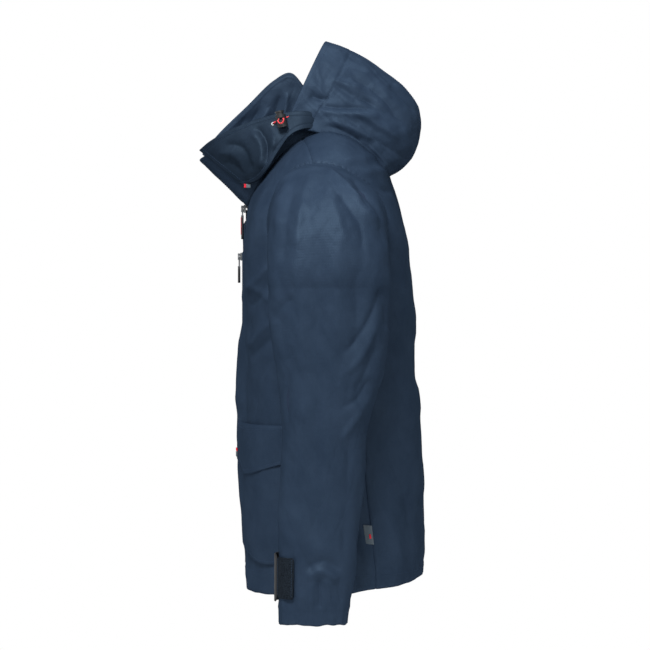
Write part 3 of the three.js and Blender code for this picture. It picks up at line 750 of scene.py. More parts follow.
def make_body_panel(name, start, end, columns, side, node_name):
    share = np.linspace(0, 1, columns)[None, :]
    height = HEIGHTS[:, None]
    angle = lerp(start(height), end(height), share)
    points = body_point(angle, height)
    points = settle_hem(points, angle)
    seam = np.minimum(share, 1 - share) * np.linalg.norm(points[:, 1:] - points[:, :-1], axis=-1).sum(
        axis=1, keepdims=True)
    relief = body_relief(points, angle, side)
    seam_edge = smoothstep(seam, 0.2, 5.0)
    beside = armhole_distance(points)
    relief = relief * smoothstep(beside, 2, 14) + groove(beside, 3.5, 1.8)
    points = lifted(points, 0.8 + relief + 1.2 * (seam_edge - 1))
    points, keep = cut_armholes(points)
    piece = cloth(name, points, SHELL, keep=keep)
    dress(piece, NAVY, "jacket", "shell_cloth", node_name)
    outward = normals(points)
    face = points + outward * OUTSIDE
    return points, face, outward, seam


def contour(face, outward, field, level):
    """The line across each row where a rising field crosses a level."""
    line, up = [], []
    for row_face, row_up, row in zip(face, outward, field):
        k = int(np.argmax(row > level))
        if k == 0:
            continue
        t = (level - row[k - 1]) / max(row[k] - row[k - 1], 1e-9)
        line.append(lerp(row_face[k - 1], row_face[k], t))
        up.append(row_up[k])
    return np.array(line), np.array(up)


def along_row(face, outward, z):
    """The line across each column where the height crosses z."""
    return contour(face.transpose(1, 0, 2), outward.transpose(1, 0, 2), face[..., 2].T, z)


def zip_edge(height):
    return np.full_like(height, math.radians(ZIP_EDGE_ANGLE))


panels = {}
FRONT_COLUMNS = 112
BACK_COLUMNS = 190
SEAM_GAP = 0.0007
panels["left"] = make_body_panel(
    "left_front", zip_edge, lambda h: seam_angle(h) - SEAM_GAP, FRONT_COLUMNS, 1, "left_front_panel")
panels["right"] = make_body_panel(
    "right_front", lambda h: 2 * math.pi - seam_angle(h) + SEAM_GAP,
    lambda h: 2 * math.pi - zip_edge(h), FRONT_COLUMNS, -1, "right_front_panel")
panels["back"] = make_body_panel(
    "back", lambda h: seam_angle(h) + SEAM_GAP, lambda h: 2 * math.pi - seam_angle(h) - SEAM_GAP,
    BACK_COLUMNS, 1, "back_panel")

for side, (points, face, outward, seam) in panels.items():
    line, up = along_row(face, outward, HEM_Z + HEM_BAND - 3)
    stitch("jacket", line, up)
    if side == "back":
        continue
    across = seam if side == "left" else seam[:, ::-1]
    ordered = (face, outward) if side == "left" else (face[:, ::-1], outward[:, ::-1])
    half = across.shape[1] // 2
    line, up = contour(ordered[0][:, :half], ordered[1][:, :half], across[:, :half], 6.0)
    stitch("jacket", line[4:], up[4:])


def armhole_x():
    """Where the armhole's edge lies across the body, for angles round the sleeve's root."""
    points = np.concatenate([panels["left"][0].reshape(-1, 3), panels["back"][0].reshape(-1, 3)])
    points = points[points[:, 0] > 150]
    away = np.hypot(points[:, 1] - ARMHOLE_Y, points[:, 2] - ARMHOLE_Z)
    points = points[np.abs(away - armhole_reach(points[:, 1], points[:, 2])) < 5]
    turn = np.arctan2(points[:, 2] - ARMHOLE_Z, ARMHOLE_Y - points[:, 1])

    def read(angle):
        apart = np.angle(np.exp(1j * (np.asarray(angle)[..., None] - turn)))
        weight = np.exp(-((apart / 0.05) ** 2))
        return (weight * points[:, 0]).sum(axis=-1) / np.maximum(weight.sum(axis=-1), 1e-9)

    return read


def make_torso_lining():
    height = np.linspace(0.05, 1.96, 90)[:, None]
    share = np.linspace(0, 1, 240)[None, :]
    first = math.radians(ZIP_EDGE_ANGLE)
    angle = lerp(first, 2 * math.pi - first, share)
    points = body_point(angle, height)
    points = lifted(points, -5.5 + 1.2 * waves(points, (60, 60, 160), 8))
    points, keep = cut_armholes(points)
    piece = cloth("body_lining", points, LINING, keep=keep)
    dress(piece, LINING_CLOTH, "jacket", "lining_cloth", "torso_lining")


make_torso_lining()

# ---- sleeves ----
sleeve_front = spline([
    (0, -77), (0.056, -78), (0.156, -73), (0.305, -65), (0.42, -60), (0.66, -62), (1, -63),
])
sleeve_back = spline([
    (0, 101), (0.125, 98), (0.237, 90), (0.39, 68), (0.595, 60), (0.73, 52), (0.91, 44), (1, 39),
])
sleeve_thickness = spline([(0, 106), (0.32, 98), (0.65, 88), (1, 82)])
shoulder_reach = spline([(0, 176), (22.5, 160), (45, 138), (67.5, 118), (90, 106)])


def section_ring(middle, out, half, half_y, power, angle, inset):
    across, forward = superellipse(angle, power)
    ring = middle[None, :] + out[None, :] * ((half - inset) * across)[:, None]
    ring[:, 1] -= (half_y - inset) * forward
    return ring


def sleeve_rings(angle, inset, root_x, last):
    """Rings of points down the sleeve, from its root on the body to its cuff."""
    rings = []
    for turn in np.linspace(0, 90, 72):
        out = np.array([math.sin(math.radians(turn)), 0, math.cos(math.radians(turn))])
        half = float(shoulder_reach(turn)) / 2
        middle = np.array([SHOULDER_X, 0, BEND_Z]) + out * (UNDERARM_BEND + half)
        share = turn / 90
        y0 = lerp(ARMHOLE_Y - ARMHOLE_RADIUS, float(sleeve_front(0)), share)
        y1 = lerp(ARMHOLE_Y + ARMHOLE_RADIUS, float(sleeve_back(0)), share)
        middle[1] = (y0 + y1) / 2
        ring = section_ring(middle, out, half, (y1 - y0) / 2, lerp(2, 2.3, share), angle, inset)
        if turn < 30:
            level = 1 - turn / 30
            fuller = armhole_reach(ring[:, 1], ring[:, 2]) - ARMHOLE_RADIUS
            away = ring[:, 1:] - [ARMHOLE_Y, ARMHOLE_Z]
            away /= np.linalg.norm(away, axis=1, keepdims=True)
            ring[:, 1:] += away * (fuller * level)[:, None]
        slope = 7 * math.sin(math.pi * min(turn / 40, 1)) + 5 * max(0, 1 - turn / 30)
        ring[:, 2] -= slope * np.clip((ring[:, 2] + 150) / 85, 0, 1)
        rings.append(ring)
    for share in np.linspace(0, last, 172)[1:]:
        half = float(sleeve_thickness(share)) / 2
        y0, y1 = float(sleeve_front(share)), float(sleeve_back(share))
        middle = np.array([SHOULDER_X + UNDERARM_BEND + half, (y0 + y1) / 2, lerp(BEND_Z, CUFF_Z, share)])
        rings.append(section_ring(middle, np.array([1.0, 0, 0]), half, (y1 - y0) / 2, 2.3, angle, inset))
    first = rings[0]
    root = []
    for k in range(9):
        ring = first.copy()
        ring[:, 0] = lerp(root_x, first[:, 0], k / 9)
        ring[:, 2] += 5 * (1 - k / 9) * np.clip((ring[:, 2] + 150) / 85, 0, 1)
        root.append(ring)
    return np.array(root + rings)


SLEEVE_COLUMNS = 200
HEAD_SEAM_ROW = -8  # of the sleeve's grid, which ends at its root
SLEEVE_FOLDS = [
    ([(256, 4, -72), (286, 24, -88), (306, 42, -108), (318, 62, -138), (318, 76, -156)], 6, -6.5),
    ([(262, 20, -72), (290, 36, -90), (310, 52, -112), (320, 68, -140)], 7, 5.0),
    ([(256, 26, -78), (296, 48, -104), (312, 66, -130), (316, 84, -164)], 6, -5.5),
    ([(270, 44, -84), (304, 62, -116), (314, 80, -150), (314, 90, -190)], 7, 4.0),
    ([(306, 20, -106), (322, 38, -132), (330, 54, -156), (334, 60, -196)], 6, 3.2),
    ([(300, 8, -104), (322, 22, -140), (332, 34, -186)], 8, -2.6),
    ([(250, -30, -78), (290, -44, -110), (322, -52, -160), (334, -56, -210)], 8, 3.4),
    ([(252, -46, -84), (290, -58, -116), (318, -66, -166)], 7, -3.0),
    ([(258, -14, -74), (300, -24, -106), (330, -34, -156), (338, -36, -210)], 8, -3.2),
    ([(338, -44, -190), (341, -36, -240), (340, -28, -300), (338, -24, -370)], 12, -5.0),
    ([(342, -6, -150), (343, -4, -300), (338, -6, -450), (328, -8, -620)], 14, 4.0),
    ([(342, 22, -170), (342, 24, -260), (340, 22, -340)], 12, -3.4),
    ([(341, 50, -220), (338, 48, -330), (332, 34, -420)], 11, 3.0),
    ([(330, 84, -250), (334, 70, -290), (338, 50, -322), (338, 30, -346)], 6, 3.8),
    ([(328, 80, -296), (334, 58, -344), (338, 36, -372)], 6, -3.8),
    ([(324, 76, -330), (332, 62, -372), (336, 44, -404)], 7, 3.4),
    ([(324, 70, -378), (330, 50, -408), (334, 28, -420)], 6, 3.4),
    ([(326, 70, -400), (330, 48, -436), (332, 24, -470)], 6, -3.2),
    ([(335, -20, -400), (330, -34, -470), (324, -40, -560)], 11, -3.6),
    ([(332, 12, -420), (328, 6, -500), (324, 0, -560)], 12, -3.0),
    ([(322, 40, -470), (322, 34, -560), (318, 30, -630)], 9, 3.0),
    ([(326, -44, -330), (328, -50, -400), (324, -52, -470)], 8, 3.0),
    ([(319, -20, -664), (324, -6, -655), (324, 6, -656), (318, 24, -668)], 6, -5.0),
    ([(320, -24, -650), (325, -4, -640), (325, 10, -641), (320, 28, -654)], 7, 3.6),
    ([(322, -4, -664), (321, -2, -708)], 4, 3.2),
    ([(321, 6, -664), (318, 14, -706)], 4, -2.6),
    ([(320, -14, -668), (318, -16, -706)], 4, -2.4),
    ([(318, 22, -668), (312, 30, -700)], 5, 2.4),
    ([(230, -40, -262), (250, -60, -280), (280, -66, -300)], 8, 3.4),
    ([(240, 80, -250), (262, 92, -280), (290, 92, -310)], 9, 3.4),
]
sleeve_root = armhole_x()


def make_sleeve(side):
    sign = 1 if side == "left" else -1
    angle = -np.linspace(0, 2 * math.pi, SLEEVE_COLUMNS, endpoint=False)
    root_x = sleeve_root(np.arctan2(np.sin(angle), np.cos(angle)))
    rings = sleeve_rings(angle, SHELL / 2, root_x - 0.6, 1)[::-1]
    z = rings[..., 2]
    row = np.arange(len(rings))[::-1][:, None]
    relief = 3.2 * waves(rings, (60, 60, 190), 11 + sign) + 1.3 * waves(rings, (24, 24, 60), 12 + sign)
    relief += 2.0 * waves(stack(rings[..., 0], rings[..., 1] + z * 0.45, z), (70, 30, 110), 14 + sign)
    relief += 0.6 * creases(slanted(rings, 0.5), (60, 44, 150), 15 + sign)
    relief += 0.5 * creases(slanted(rings, -0.4), (60, 50, 160), 27 + sign)
    for path, width, height in SLEEVE_FOLDS:
        relief += fold(rings, path, width, height)
    relief *= smoothstep(row, 0, 16) * (0.35 + 0.65 * smoothstep(z, CUFF_Z, CUFF_Z + 40))
    puff = 1.6 * smoothstep(row, 0.5, 3.5) - 1.2
    hem = 0.6 * smoothstep(-z, -CUFF_Z - 22, -CUFF_Z - 20) + groove(z - CUFF_Z - 21, 1.4, 0.5)
    gathers = 0.8 * np.sin(20 * angle)[None, :] * smoothstep(-z, -CUFF_Z - 60, -CUFF_Z - 18)
    points = lifted(rings, relief + puff + hem + 0.5 * gathers, closed=True)
    points[..., 2] += 2.2 * waves(rings, (24, 24, 400), 17) * np.clip(1 - (z - CUFF_Z) / 30, 0, 1)
    outward = normals(points, closed=True)
    face = points + outward * OUTSIDE
    mirror = np.array([sign, 1, 1])
    body = side + "_sleeve"
    for line, up in ((face[HEAD_SEAM_ROW], outward[HEAD_SEAM_ROW]), along_row(face, outward, CUFF_Z + 21)):
        line, up = (np.concatenate([one, one[:1]]) for one in (line, up))
        stitch(body, line * mirror, up * mirror)
    if sign < 0:
        points = points[:, ::-1] * mirror
    piece = cloth(side + "_sleeve_shell", points, SHELL, closed=True)
    dress(piece, NAVY, body, "shell_cloth", side + "_sleeve")
    blend_sleeve(piece)

    inner = sleeve_rings(angle, 6.5, root_x + 2, 0.955)[::-1]
    inner = lifted(inner, 1.0 * waves(inner, (30, 30, 90), 19), closed=True)
    if sign < 0:
        inner = inner[:, ::-1] * mirror
    lining = cloth(side + "_sleeve_inside", inner, LINING, closed=True)
    dress(lining, LINING_CLOTH, body, "lining_cloth", side + "_sleeve_lining")
    blend_sleeve(lining)


def blend_sleeve(piece):
    """Unparents the sleeve piece and bakes its world transform into its mesh, through bend()."""
    bend(piece)


make_sleeve("left")
make_sleeve("right")


def sleeve_surface(angle, z):
    """A point on the outside of the sleeve at an angle from its front and a height."""
    share = (BEND_Z - z) / (BEND_Z - CUFF_Z)
    half = sleeve_thickness(share) / 2
    y0, y1 = sleeve_front(share), sleeve_back(share)
    across, forward = superellipse(angle, 2.3)
    return stack(
        SHOULDER_X + UNDERARM_BEND + half + half * across,
        (y0 + y1) / 2 - (y1 - y0) / 2 * forward,
        z,
    )


def rounded_patch(surface, width_mm, height_mm, corner, columns, rows):
    """A grid on surface(u, v) whose corners are drawn in to a radius."""
    u, v = np.meshgrid(np.linspace(0, 1, columns), np.linspace(0, 1, rows))
    x = (u - 0.5) * width_mm
    limit_x, limit_y = width_mm / 2 - corner, height_mm / 2 - corner
    reach_y = np.where(
        np.abs(x) > limit_x,
        limit_y + np.sqrt(np.maximum(corner**2 - (np.abs(x) - limit_x) ** 2, 0)),
        height_mm / 2,
    )
    return surface(u, 0.5 + (v - 0.5) * (2 * reach_y / height_mm))


def make_cuff(side):
    sign = 1 if side == "left" else -1
    mirror = np.array([sign, 1, 1])
    order = slice(None, None, sign)

    def patch(name, from_deg, to_deg, top, bottom, thickness, lift, corner, fuzz, bow=0):
        def surface(u, v):
            return sleeve_surface(np.radians(lerp(from_deg, to_deg, u)), lerp(bottom, top, v))

        corners = surface(np.array([0.0, 1.0]), np.array([0.5, 0.5]))
        points = rounded_patch(surface, np.linalg.norm(corners[1] - corners[0]), top - bottom, corner, 44, 60)
        across = np.linspace(0, 1, points.shape[1])[None, :]
        stand = bow * np.sin(math.pi * np.clip(across * 1.15 - 0.15, 0, 1)) ** 0.8
        points = lifted(points, lift + stand + fuzz * waves(points, 1.6, 23, 1))
        outward = normals(points)
        return cloth(name, (points * mirror)[:, order], thickness), points, outward

    loops, points, outward = patch(side + "_loop_pile", 16, 56, -636, -694, 1.8, 1.6, 3, 0.25)
    dress(loops, PILE, side + "_sleeve", "hook_and_loop", side + "_cuff_loop_patch")
    for edge in (points[:, 2], points[:, -3]):
        stitch(side + "_sleeve", (edge + outward[:, 2] * 1.2) * mirror, outward[:, 2] * mirror)
    tab, points, outward = patch(side + "_tab", -58, 14, -632, -700, 2.4, 2.8, 9, 0.08, bow=2.5)
    dress(tab, RUBBER, side + "_cuff_tab", "black_plastic", side + "_cuff_tab")


make_cuff("left")
make_cuff("right")

# ---- hand pockets ----
POCKET_TOP_Z = -450
POCKET_FRONT_ANGLE = 18
POCKET_BACK_ANGLE = 61
POCKET_WIDTH = 150
BAG_LENGTH = 200
FLAP_DROP = 72
bag_bottom = spline([(0, -634), (0.35, -646), (0.62, -655), (0.7, -655.5), (1, -653)])
flap_bottom = spline([(0, -505), (0.15, -516), (0.29, -525.5), (0.36, -525), (1, -506)])


def make_pocket(side):
    sign = 1 if side == "left" else -1
    mirror = np.array([sign, 1, 1])
    order = slice(None, None, sign)

    def sheet_points(bottom, top, columns, rows):
        u, v = np.meshgrid(np.linspace(0, 1, columns), np.linspace(0, 1, rows))
        angle = np.radians(lerp(POCKET_FRONT_ANGLE, POCKET_BACK_ANGLE, u))
        return u, v, body_point(angle, height_at(lerp(bottom(u), top, v)))

    u, v, points = sheet_points(bag_bottom, POCKET_TOP_Z - 6, 70, 90)
    edge = np.minimum(np.minimum(u, 1 - u) * POCKET_WIDTH, v * BAG_LENGTH)
    puff = smoothstep(edge, 0, 4) * 1.0 + smoothstep(edge, 4, 40) * 1.4
    relief = 1.0 * waves(points, (34, 34, 60), 31) * smoothstep(edge, 3, 20)
    relief += fold(points, [(112, -118, -560), (140, -108, -600), (150, -104, -640)], 8, 1.8)
    relief += fold(points, [(160, -98, -540), (150, -106, -600)], 9, -1.6)
    points = lifted(points, 3.3 + puff + relief + groove(edge - 4.5, 1.2, 0.4))
    bag = cloth(side + "_pocket", (points * mirror)[:, order], SHELL)
    dress(bag, NAVY, "jacket", "shell_cloth", side + "_pocket_bag")
    outward = normals(points)
    face = points + outward * OUTSIDE
    for line, up in ((face[:, 2], outward[:, 2]), (face[:, -3], outward[:, -3]), (face[2], outward[2])):
        stitch("jacket", line * mirror, up * mirror)

    u, v, points = sheet_points(flap_bottom, POCKET_TOP_Z, 70, 40)
    drop = (1 - v) * FLAP_DROP
    edge = np.minimum(np.minimum(u, 1 - u) * POCKET_WIDTH, v * FLAP_DROP)
    lift = 3.6 + 3.4 * smoothstep(drop, 0, 9) + 0.6 * smoothstep(drop, 30, 72)
    welt = 1.4 * (smoothstep(drop, 0.6, 1.8) - smoothstep(drop, 5.0, 6.4))
    relief = 0.8 * waves(points, (40, 40, 50), 33) * smoothstep(edge, 2, 14)
    points = lifted(points, lift + welt + relief + groove(edge - 5.5, 1.2, 0.35))
    flap = cloth(side + "_flap", (points * mirror)[:, order], SHELL)
    dress(flap, NAVY, side + "_pocket_flap", "shell_cloth", side + "_pocket_flap")
    outward = normals(points)
    face = points + outward * OUTSIDE
    for line, up in ((face[:, 2], outward[:, 2]), (face[:, -3], outward[:, -3]),
                     (face[3], outward[3]), (face[-5], outward[-5])):
        stitch(side + "_pocket_flap", line * mirror, up * mirror)
    mark(side, face, outward, mirror)


def mark(side, face, outward, mirror):
    """A small red and pale bar tack on the flap's chamfered corner."""
    for name, rows, material in (("red", (9, 12), RED_WOVEN), ("pale", (3, 8), LABEL)):
        part = face[rows[0] : rows[1] + 1, 0:3] + outward[rows[0] : rows[1] + 1, 0:3] * 0.5
        part = part + np.array([-0.6, -0.6, 0])
        order = slice(None, None, int(mirror[0]))
        tack = cloth(f"{side}_flap_tack_{name}", (part * mirror)[:, order], 0.9)
        dress(tack, material, side + "_pocket_flap", "red_cord" if name == "red" else "label_cloth")


make_pocket("left")
make_pocket("right")

# ---- collar ----
COLLAR_FRONT_Y = -188
COLLAR_SIDE_Y = -60
COLLAR_BACK_Y = 66
COLLAR_BACK_Z = 72
COLLAR_FALL = 119
COLLAR_SPREAD = 10
COLLAR_HEIGHT = 76


def collar_point(angle, v):
    s, c = np.sin(angle), np.cos(angle)
    reach = np.where(c > 0, COLLAR_SIDE_Y - COLLAR_FRONT_Y, COLLAR_BACK_Y - COLLAR_SIDE_Y)
    spread = COLLAR_SPREAD * np.sign(s) * ((1 + c) / 2) ** 4
    top = stack(
        0.96 * NECK_HALF_WIDTH * s + spread,
        COLLAR_SIDE_Y - reach * c,
        COLLAR_BACK_Z - COLLAR_FALL * ((1 + c) / 2),
    )
    return lerp(neck_ring(angle), top, np.asarray(v)[..., None])


def make_collar():
    first = math.radians(ZIP_EDGE_ANGLE)
    angle = np.linspace(first, 2 * math.pi - first, 200)[None, :]
    v = np.linspace(0.03, 1, 34)[:, None]
    angle, v = np.broadcast_arrays(angle, v)
    points = collar_point(angle, v)
    height = v * COLLAR_HEIGHT
    relief = 1.1 * waves(points, (34, 34, 40), 41) * smoothstep(height, 4, 20)
    top_edge = COLLAR_HEIGHT - height
    points = lifted(points, relief + groove(top_edge - 6, 1.3, 0.4) + groove(height - 9, 1.6, 0.5))
    piece = cloth("collar_shell", points, FACED)
    dress(piece, NAVY, "jacket", "shell_cloth", "collar")
    outward = normals(points)
    for sign in (1, -1):
        face = points + outward * sign * FACED_OUTSIDE
        stitch("jacket", face[-3], outward[-3] * sign)
        stitch("jacket", face[5], outward[5] * sign)


make_collar()

# ---- hood ----
HOOD_SQUARENESS = 2.6
HOOD_STRIP_ANGLE = 18  # half the centre panel
HOOD_SEAM_GAP = 0.15
HOOD_EDGE_ANGLE = 97
HOOD_LENGTH = 270  # from the brim to the neck
hood_crown = Curve([
    (0, 6, 135), (0, 37, 124), (0, 62, 112), (0, 99, 87), (0, 129, 62), (0, 146, 37),
    (0, 152, 12), (0, 150, -12), (0, 141, -37), (0, 131, -52), (0, 115, -64), (0, 101, -71),
])
hood_side = Curve([
    (0, -44, 24), (0, -20, 8), (0, 4, 0), (0, 34, -13), (0, 60, -29), (0, 78, -46), (0, 90, -64),
])
hood_width = spline([(0, 97), (0.25, 103), (0.5, 106), (0.75, 102), (1, 92)])


def hood_point(angle, s):
    across, up = superellipse(angle, HOOD_SQUARENESS)
    point = lerp(hood_side.along(s), hood_crown.along(s), up[..., None])
    point[..., 0] = hood_width(s) * across
    return point


HOOD_ROWS = 120
HOOD_CHANNEL_ROW = HOOD_ROWS // 5
HOOD_FOLDS = [
    ([(60, 34, 78), (62, 70, 60), (66, 104, 30), (62, 118, 8)], 6, -4.6),
    ([(88, -6, 30), (98, 20, 26), (100, 52, 26), (96, 82, 22)], 5, -5.2),
    ([(90, -2, 22), (100, 24, 18), (102, 54, 16), (98, 86, 10)], 6, 4.2),
    ([(92, 44, 20), (98, 80, 2), (92, 118, -22)], 7, 4.4),
    ([(84, 60, 42), (90, 96, 22), (84, 130, 4)], 7, -4.2),
    ([(60, 100, 62), (62, 126, 44), (50, 144, 22)], 5, -5.4),
    ([(56, 108, 66), (58, 134, 46), (44, 150, 26)], 5, 4.2),
    ([(90, 70, -20), (96, 100, -34), (84, 128, -48)], 8, -4.6),
    ([(96, 10, 6), (104, 40, -4), (104, 70, -18), (96, 96, -38)], 8, 4.6),
    ([(96, 6, 0), (104, 34, -10), (102, 60, -26)], 5, -3.6),
    ([(74, 10, 74), (78, 34, 62), (80, 60, 56)], 7, 3.6),
    ([(88, -20, 46), (94, -4, 40), (96, 12, 42)], 5, -3.8),
    ([(70, 120, -2), (72, 134, -30), (66, 136, -46)], 6, 3.8),
    ([(76, 20, 64), (84, 50, 44), (86, 84, 34)], 7, -3.4),
    ([(60, 60, 90), (70, 84, 66), (74, 104, 40)], 7, 3.2),
]
brim_place = spline([(0, 0.125), (40, 0.15), (70, 0.19), (97, 0.22)])


def make_hood_panel(name, start, end, columns, replaced):
    s = np.linspace(0, 1, HOOD_ROWS)[:, None]
    share = np.linspace(0, 1, columns)[None, :]
    angle = np.radians(lerp(start, end, share)) + 0 * s
    s = s + 0 * angle
    points = hood_point(angle, s)
    width = np.linalg.norm(np.diff(points, axis=1), axis=-1).sum(axis=1)[:, None]
    seam = np.abs(np.abs(np.degrees(angle)) - HOOD_STRIP_ANGLE) / abs(end - start) * width
    from_brim = s * HOOD_LENGTH
    turn = np.abs(np.degrees(angle))
    relief = 2.4 * waves(points, (48, 60, 44), 51) + 1.1 * waves(points, (22, 24, 20), 52)
    relief += 1.6 * waves(stack(points[..., 0], points[..., 1] + points[..., 2], points[..., 2]),
                          (60, 20, 60), 53)
    relief += 0.9 * creases(slanted(points, 0.9), (50, 30, 70), 54)
    for path, fold_width, height in HOOD_FOLDS:
        relief += fold(points, path, fold_width, height)
    relief *= smoothstep(from_brim, 2, 26) * (0.3 + 0.7 * smoothstep(turn, 16, 34))
    brim = (s - brim_place(turn)) * HOOD_LENGTH
    relief += groove(brim, 1.4, 0.7) + 0.4 * smoothstep(-brim, 0, 3) - 1.3 * np.exp(-((seam / 2.2) ** 2))
    points = lifted(points, relief)
    piece = cloth(name, points[::-1, ::-1], SHELL)
    dress(piece, NAVY, "hood", "shell_cloth", replaced)
    return points


def hood_stitches(points, columns):
    """Stitches on columns of a hood panel's grid, and on the brim's channel."""
    n = normals(points)
    flip = 1 if (n[60, 0] @ (points[60, 0] - [0, 60, 0])) > 0 else -1
    face = points + n * flip * OUTSIDE
    for column in columns:
        stitch("hood", face[:, column], n[:, column] * flip)
    for row in (HOOD_CHANNEL_ROW - 2, HOOD_CHANNEL_ROW + 2, 3):
        stitch("hood", face[row], n[row] * flip)


def make_hood():
    seam, edge = HOOD_STRIP_ANGLE, HOOD_EDGE_ANGLE
    beside = seam + HOOD_SEAM_GAP
    for name, replaced, start, end, columns, seams in (
        ("hood_centre", "hood_centre_panel", -seam, seam, 30, (2, -3)),
        ("left_hood_side", "left_hood_side_panel", beside, edge, 84, (2, 4)),
        ("right_hood_side", "right_hood_side_panel", -edge, -beside, 84, (-3, -5)),
    ):
        hood_stitches(make_hood_panel(name, start, end, columns, replaced), seams)


make_hood()


def make_hood_binding():
    angle = np.radians(np.linspace(-62, 62, 90))[None, :] + np.zeros((5, 1))
    rim = hood_point(angle, np.ones_like(angle))
    before = hood_point(angle, np.full_like(angle, 0.97))
    along = (rim - before) / np.linalg.norm(rim - before, axis=-1, keepdims=True)
    points = rim + along * np.linspace(-0.6, 3.4, 5)[:, None, None]
    piece = cloth("hood_binding", points[:, ::-1], 2.0)
    dress(piece, RED_WOVEN, "hood", "red_cord", "hood_edge_binding")


make_hood_binding()


def make_hood_base():
    angle, v = np.meshgrid(np.radians(np.linspace(-80, 80, 120)), np.linspace(0, 1, 40))
    rim = hood_point(angle, np.ones_like(angle))
    neck = neck_ring(math.pi - angle) * [1.06, 1, 1]
    neck[..., 1] += 6 * np.cos(angle)
    neck[..., 2] += 7
    rise = (neck + rim) / 2 + [0, 8, 40]
    t = lerp(0.02, 0.97, 1 - v)[..., None]
    points = neck * (1 - t) ** 2 + rise * 2 * t * (1 - t) + rim * t**2
    points = lifted(points, 1.4 * waves(points, (30, 24, 24), 61))
    piece = cloth("hood_lining", points, 1.6)
    # The hood's base takes the darker shell cloth: painted shade under the thrown-back hood.
    dress(piece, NAVY_PAINTED_SHADE, "jacket", "dark_cloth", "hood_base")
    bend(piece)


make_hood_base()

# ---- cheek wings: the hood's front, folded down outside the collar ----
near_top = Curve([
    (42.4, -187, -34), (65.4, -168, -21), (80, -132, -3), (93, -87, 12), (101, -56, 18), (104, -28, 20),
    (88, 14, 16),
])
near_bottom = Curve([
    (53, -122, -87), (77, -99, -82), (110, -82, -66), (113, -66, -40), (113, -48, -16), (110, -28, -6),
    (89, 14, -6),
])
far_bottom = Curve([
    (53, -122, -87), (77, -99, -82), (108, -80, -66), (106, -62, -36), (98, -42, -12), (92, -24, -4),
])
far_top = Curve([
    (49.5, -187, -34), (76.5, -162, 0), (87, -118, 44), (84, -76, 84), (83, -50, 96), (82, -27, 72),
])
WING_SHOULDER = 0.25
WING_LENGTH = 150
LOCK_PLACE = (100, -62, 6)
NEAR_WING_FOLDS = [
    ([(60, -158, -38), (86, -130, -44), (100, -112, -76)], 6, 4.0),
    ([(62, -146, -26), (84, -120, -34), (98, -104, -70)], 6, -4.2),
    ([(80, -108, -8), (98, -92, -30), (104, -90, -66)], 5, 4.6),
    ([(84, -98, -2), (100, -84, -26), (106, -84, -60)], 4.5, -4.4),
    ([(94, -78, 2), (104, -72, -16), (110, -72, -40)], 5, 4.0),
    ([(60, -150, -50), (76, -128, -62), (84, -112, -72)], 6, -3.0),
]
FAR_WING_FOLDS = [
    ([(66, -160, -24), (92, -118, 12), (92, -96, 44)], 7, 5.0),
    ([(80, -150, -20), (94, -106, 10), (90, -84, 40)], 6, -5.0),
    ([(96, -90, -6), (98, -76, 30), (88, -66, 62)], 7, 4.8),
    ([(98, -76, -4), (98, -60, 30), (88, -54, 66)], 5, -4.0),
    ([(70, -170, -26), (84, -140, 0), (88, -118, 30)], 6, 3.4),
]


def make_wing(name, bottom, top, folds, sign, material, slot, replaced):
    u, v = np.meshgrid(np.linspace(0, 1, 96), np.linspace(0, 1, 72))
    low, high = bottom.at(u), top.at(u)
    points = lerp(low, high, v[..., None])
    if top is far_top:
        inward = 1 - np.maximum(0, 1 - v / WING_SHOULDER) ** 2
        points[..., 0] = lerp(low[..., 0], high[..., 0], inward)
    height = np.linalg.norm(high - low, axis=-1)
    edge = np.minimum(np.minimum(v, 1 - v) * height, u * WING_LENGTH)
    relief = 1.5 * waves(points, (30, 30, 30), 71) + 0.5 * creases(slanted(points, -0.5), (30, 22, 60), 72)
    relief *= smoothstep(edge, 3, 18)
    for path, width, rise in folds:
        relief += fold(points, path, width, rise) * smoothstep(edge, 0, 12)
    from_lock = np.linalg.norm(points - LOCK_PLACE, axis=-1)
    relief *= smoothstep(from_lock, 10, 34)
    relief += groove((1 - v) * height - 6.5, 1.3, 0.5) + groove(v * height - 6.5, 1.3, 0.5)
    points = lifted(points, relief)
    mirror = np.array([sign, 1, 1])
    piece = cloth(name, (points * mirror)[:, ::sign], FACED)
    dress(piece, material, "jacket", slot, replaced)
    if top is near_top:
        bend(piece)
    outward = normals(points)
    for way in (1, -1):
        face = points + outward * way * FACED_OUTSIDE
        still = np.flatnonzero(face[4, :, 1] < -48)[-1] if top is near_top else face.shape[1]
        for row in (4, -5):
            stitch("jacket", face[row, :still] * mirror, outward[row, :still] * way * mirror)
        stitch("jacket", face[:, 4] * mirror, outward[:, 4] * way * mirror)


# The near wing takes the darker shell cloth: painted shade, where it lies under the hood and collar.
make_wing("left_wing", near_bottom, near_top, NEAR_WING_FOLDS, 1, NAVY_PAINTED_SHADE, "dark_cloth", "left_hood_wing")
make_wing("right_wing", far_bottom, far_top, FAR_WING_FOLDS, -1, NAVY, "shell_cloth", "right_hood_wing")


def make_wing_mark():
    """A small woven mark sewn into the near wing's lower edge."""
    for name, y0, y1, material in (("red", -119, -115.5, RED_WOVEN), ("pale", -115.5, -109, LABEL)):
        piece = boxes("wing_mark_" + name, [(60.5, 62.5, y0, y1, -92.5, -86.5)], bevel=0.4)
        dress(piece, material, "jacket", "label_cloth")


# ---- zips ----
ZIP_TOP_Z = -124
ZIP_BOTTOM_Z = -660
CHEST_ZIP_X = -40
CHEST_ZIP_TOP_Z = -188
CHEST_ZIP_BOTTOM_Z = -300
CHEST_PLANE_Y = ZIP_PLANE_Y - 2 - 4.4
TOOTH_PITCH = 2.5


def box_verts(x0, x1, y0, y1, z0, z1):
    return [(x, y, z) for z in (z0, z1) for y in (y0, y1) for x in (x0, x1)]


BOX_FACES = [(0, 2, 3, 1), (4, 5, 7, 6), (0, 1, 5, 4), (2, 6, 7, 3), (0, 4, 6, 2), (1, 3, 7, 5)]


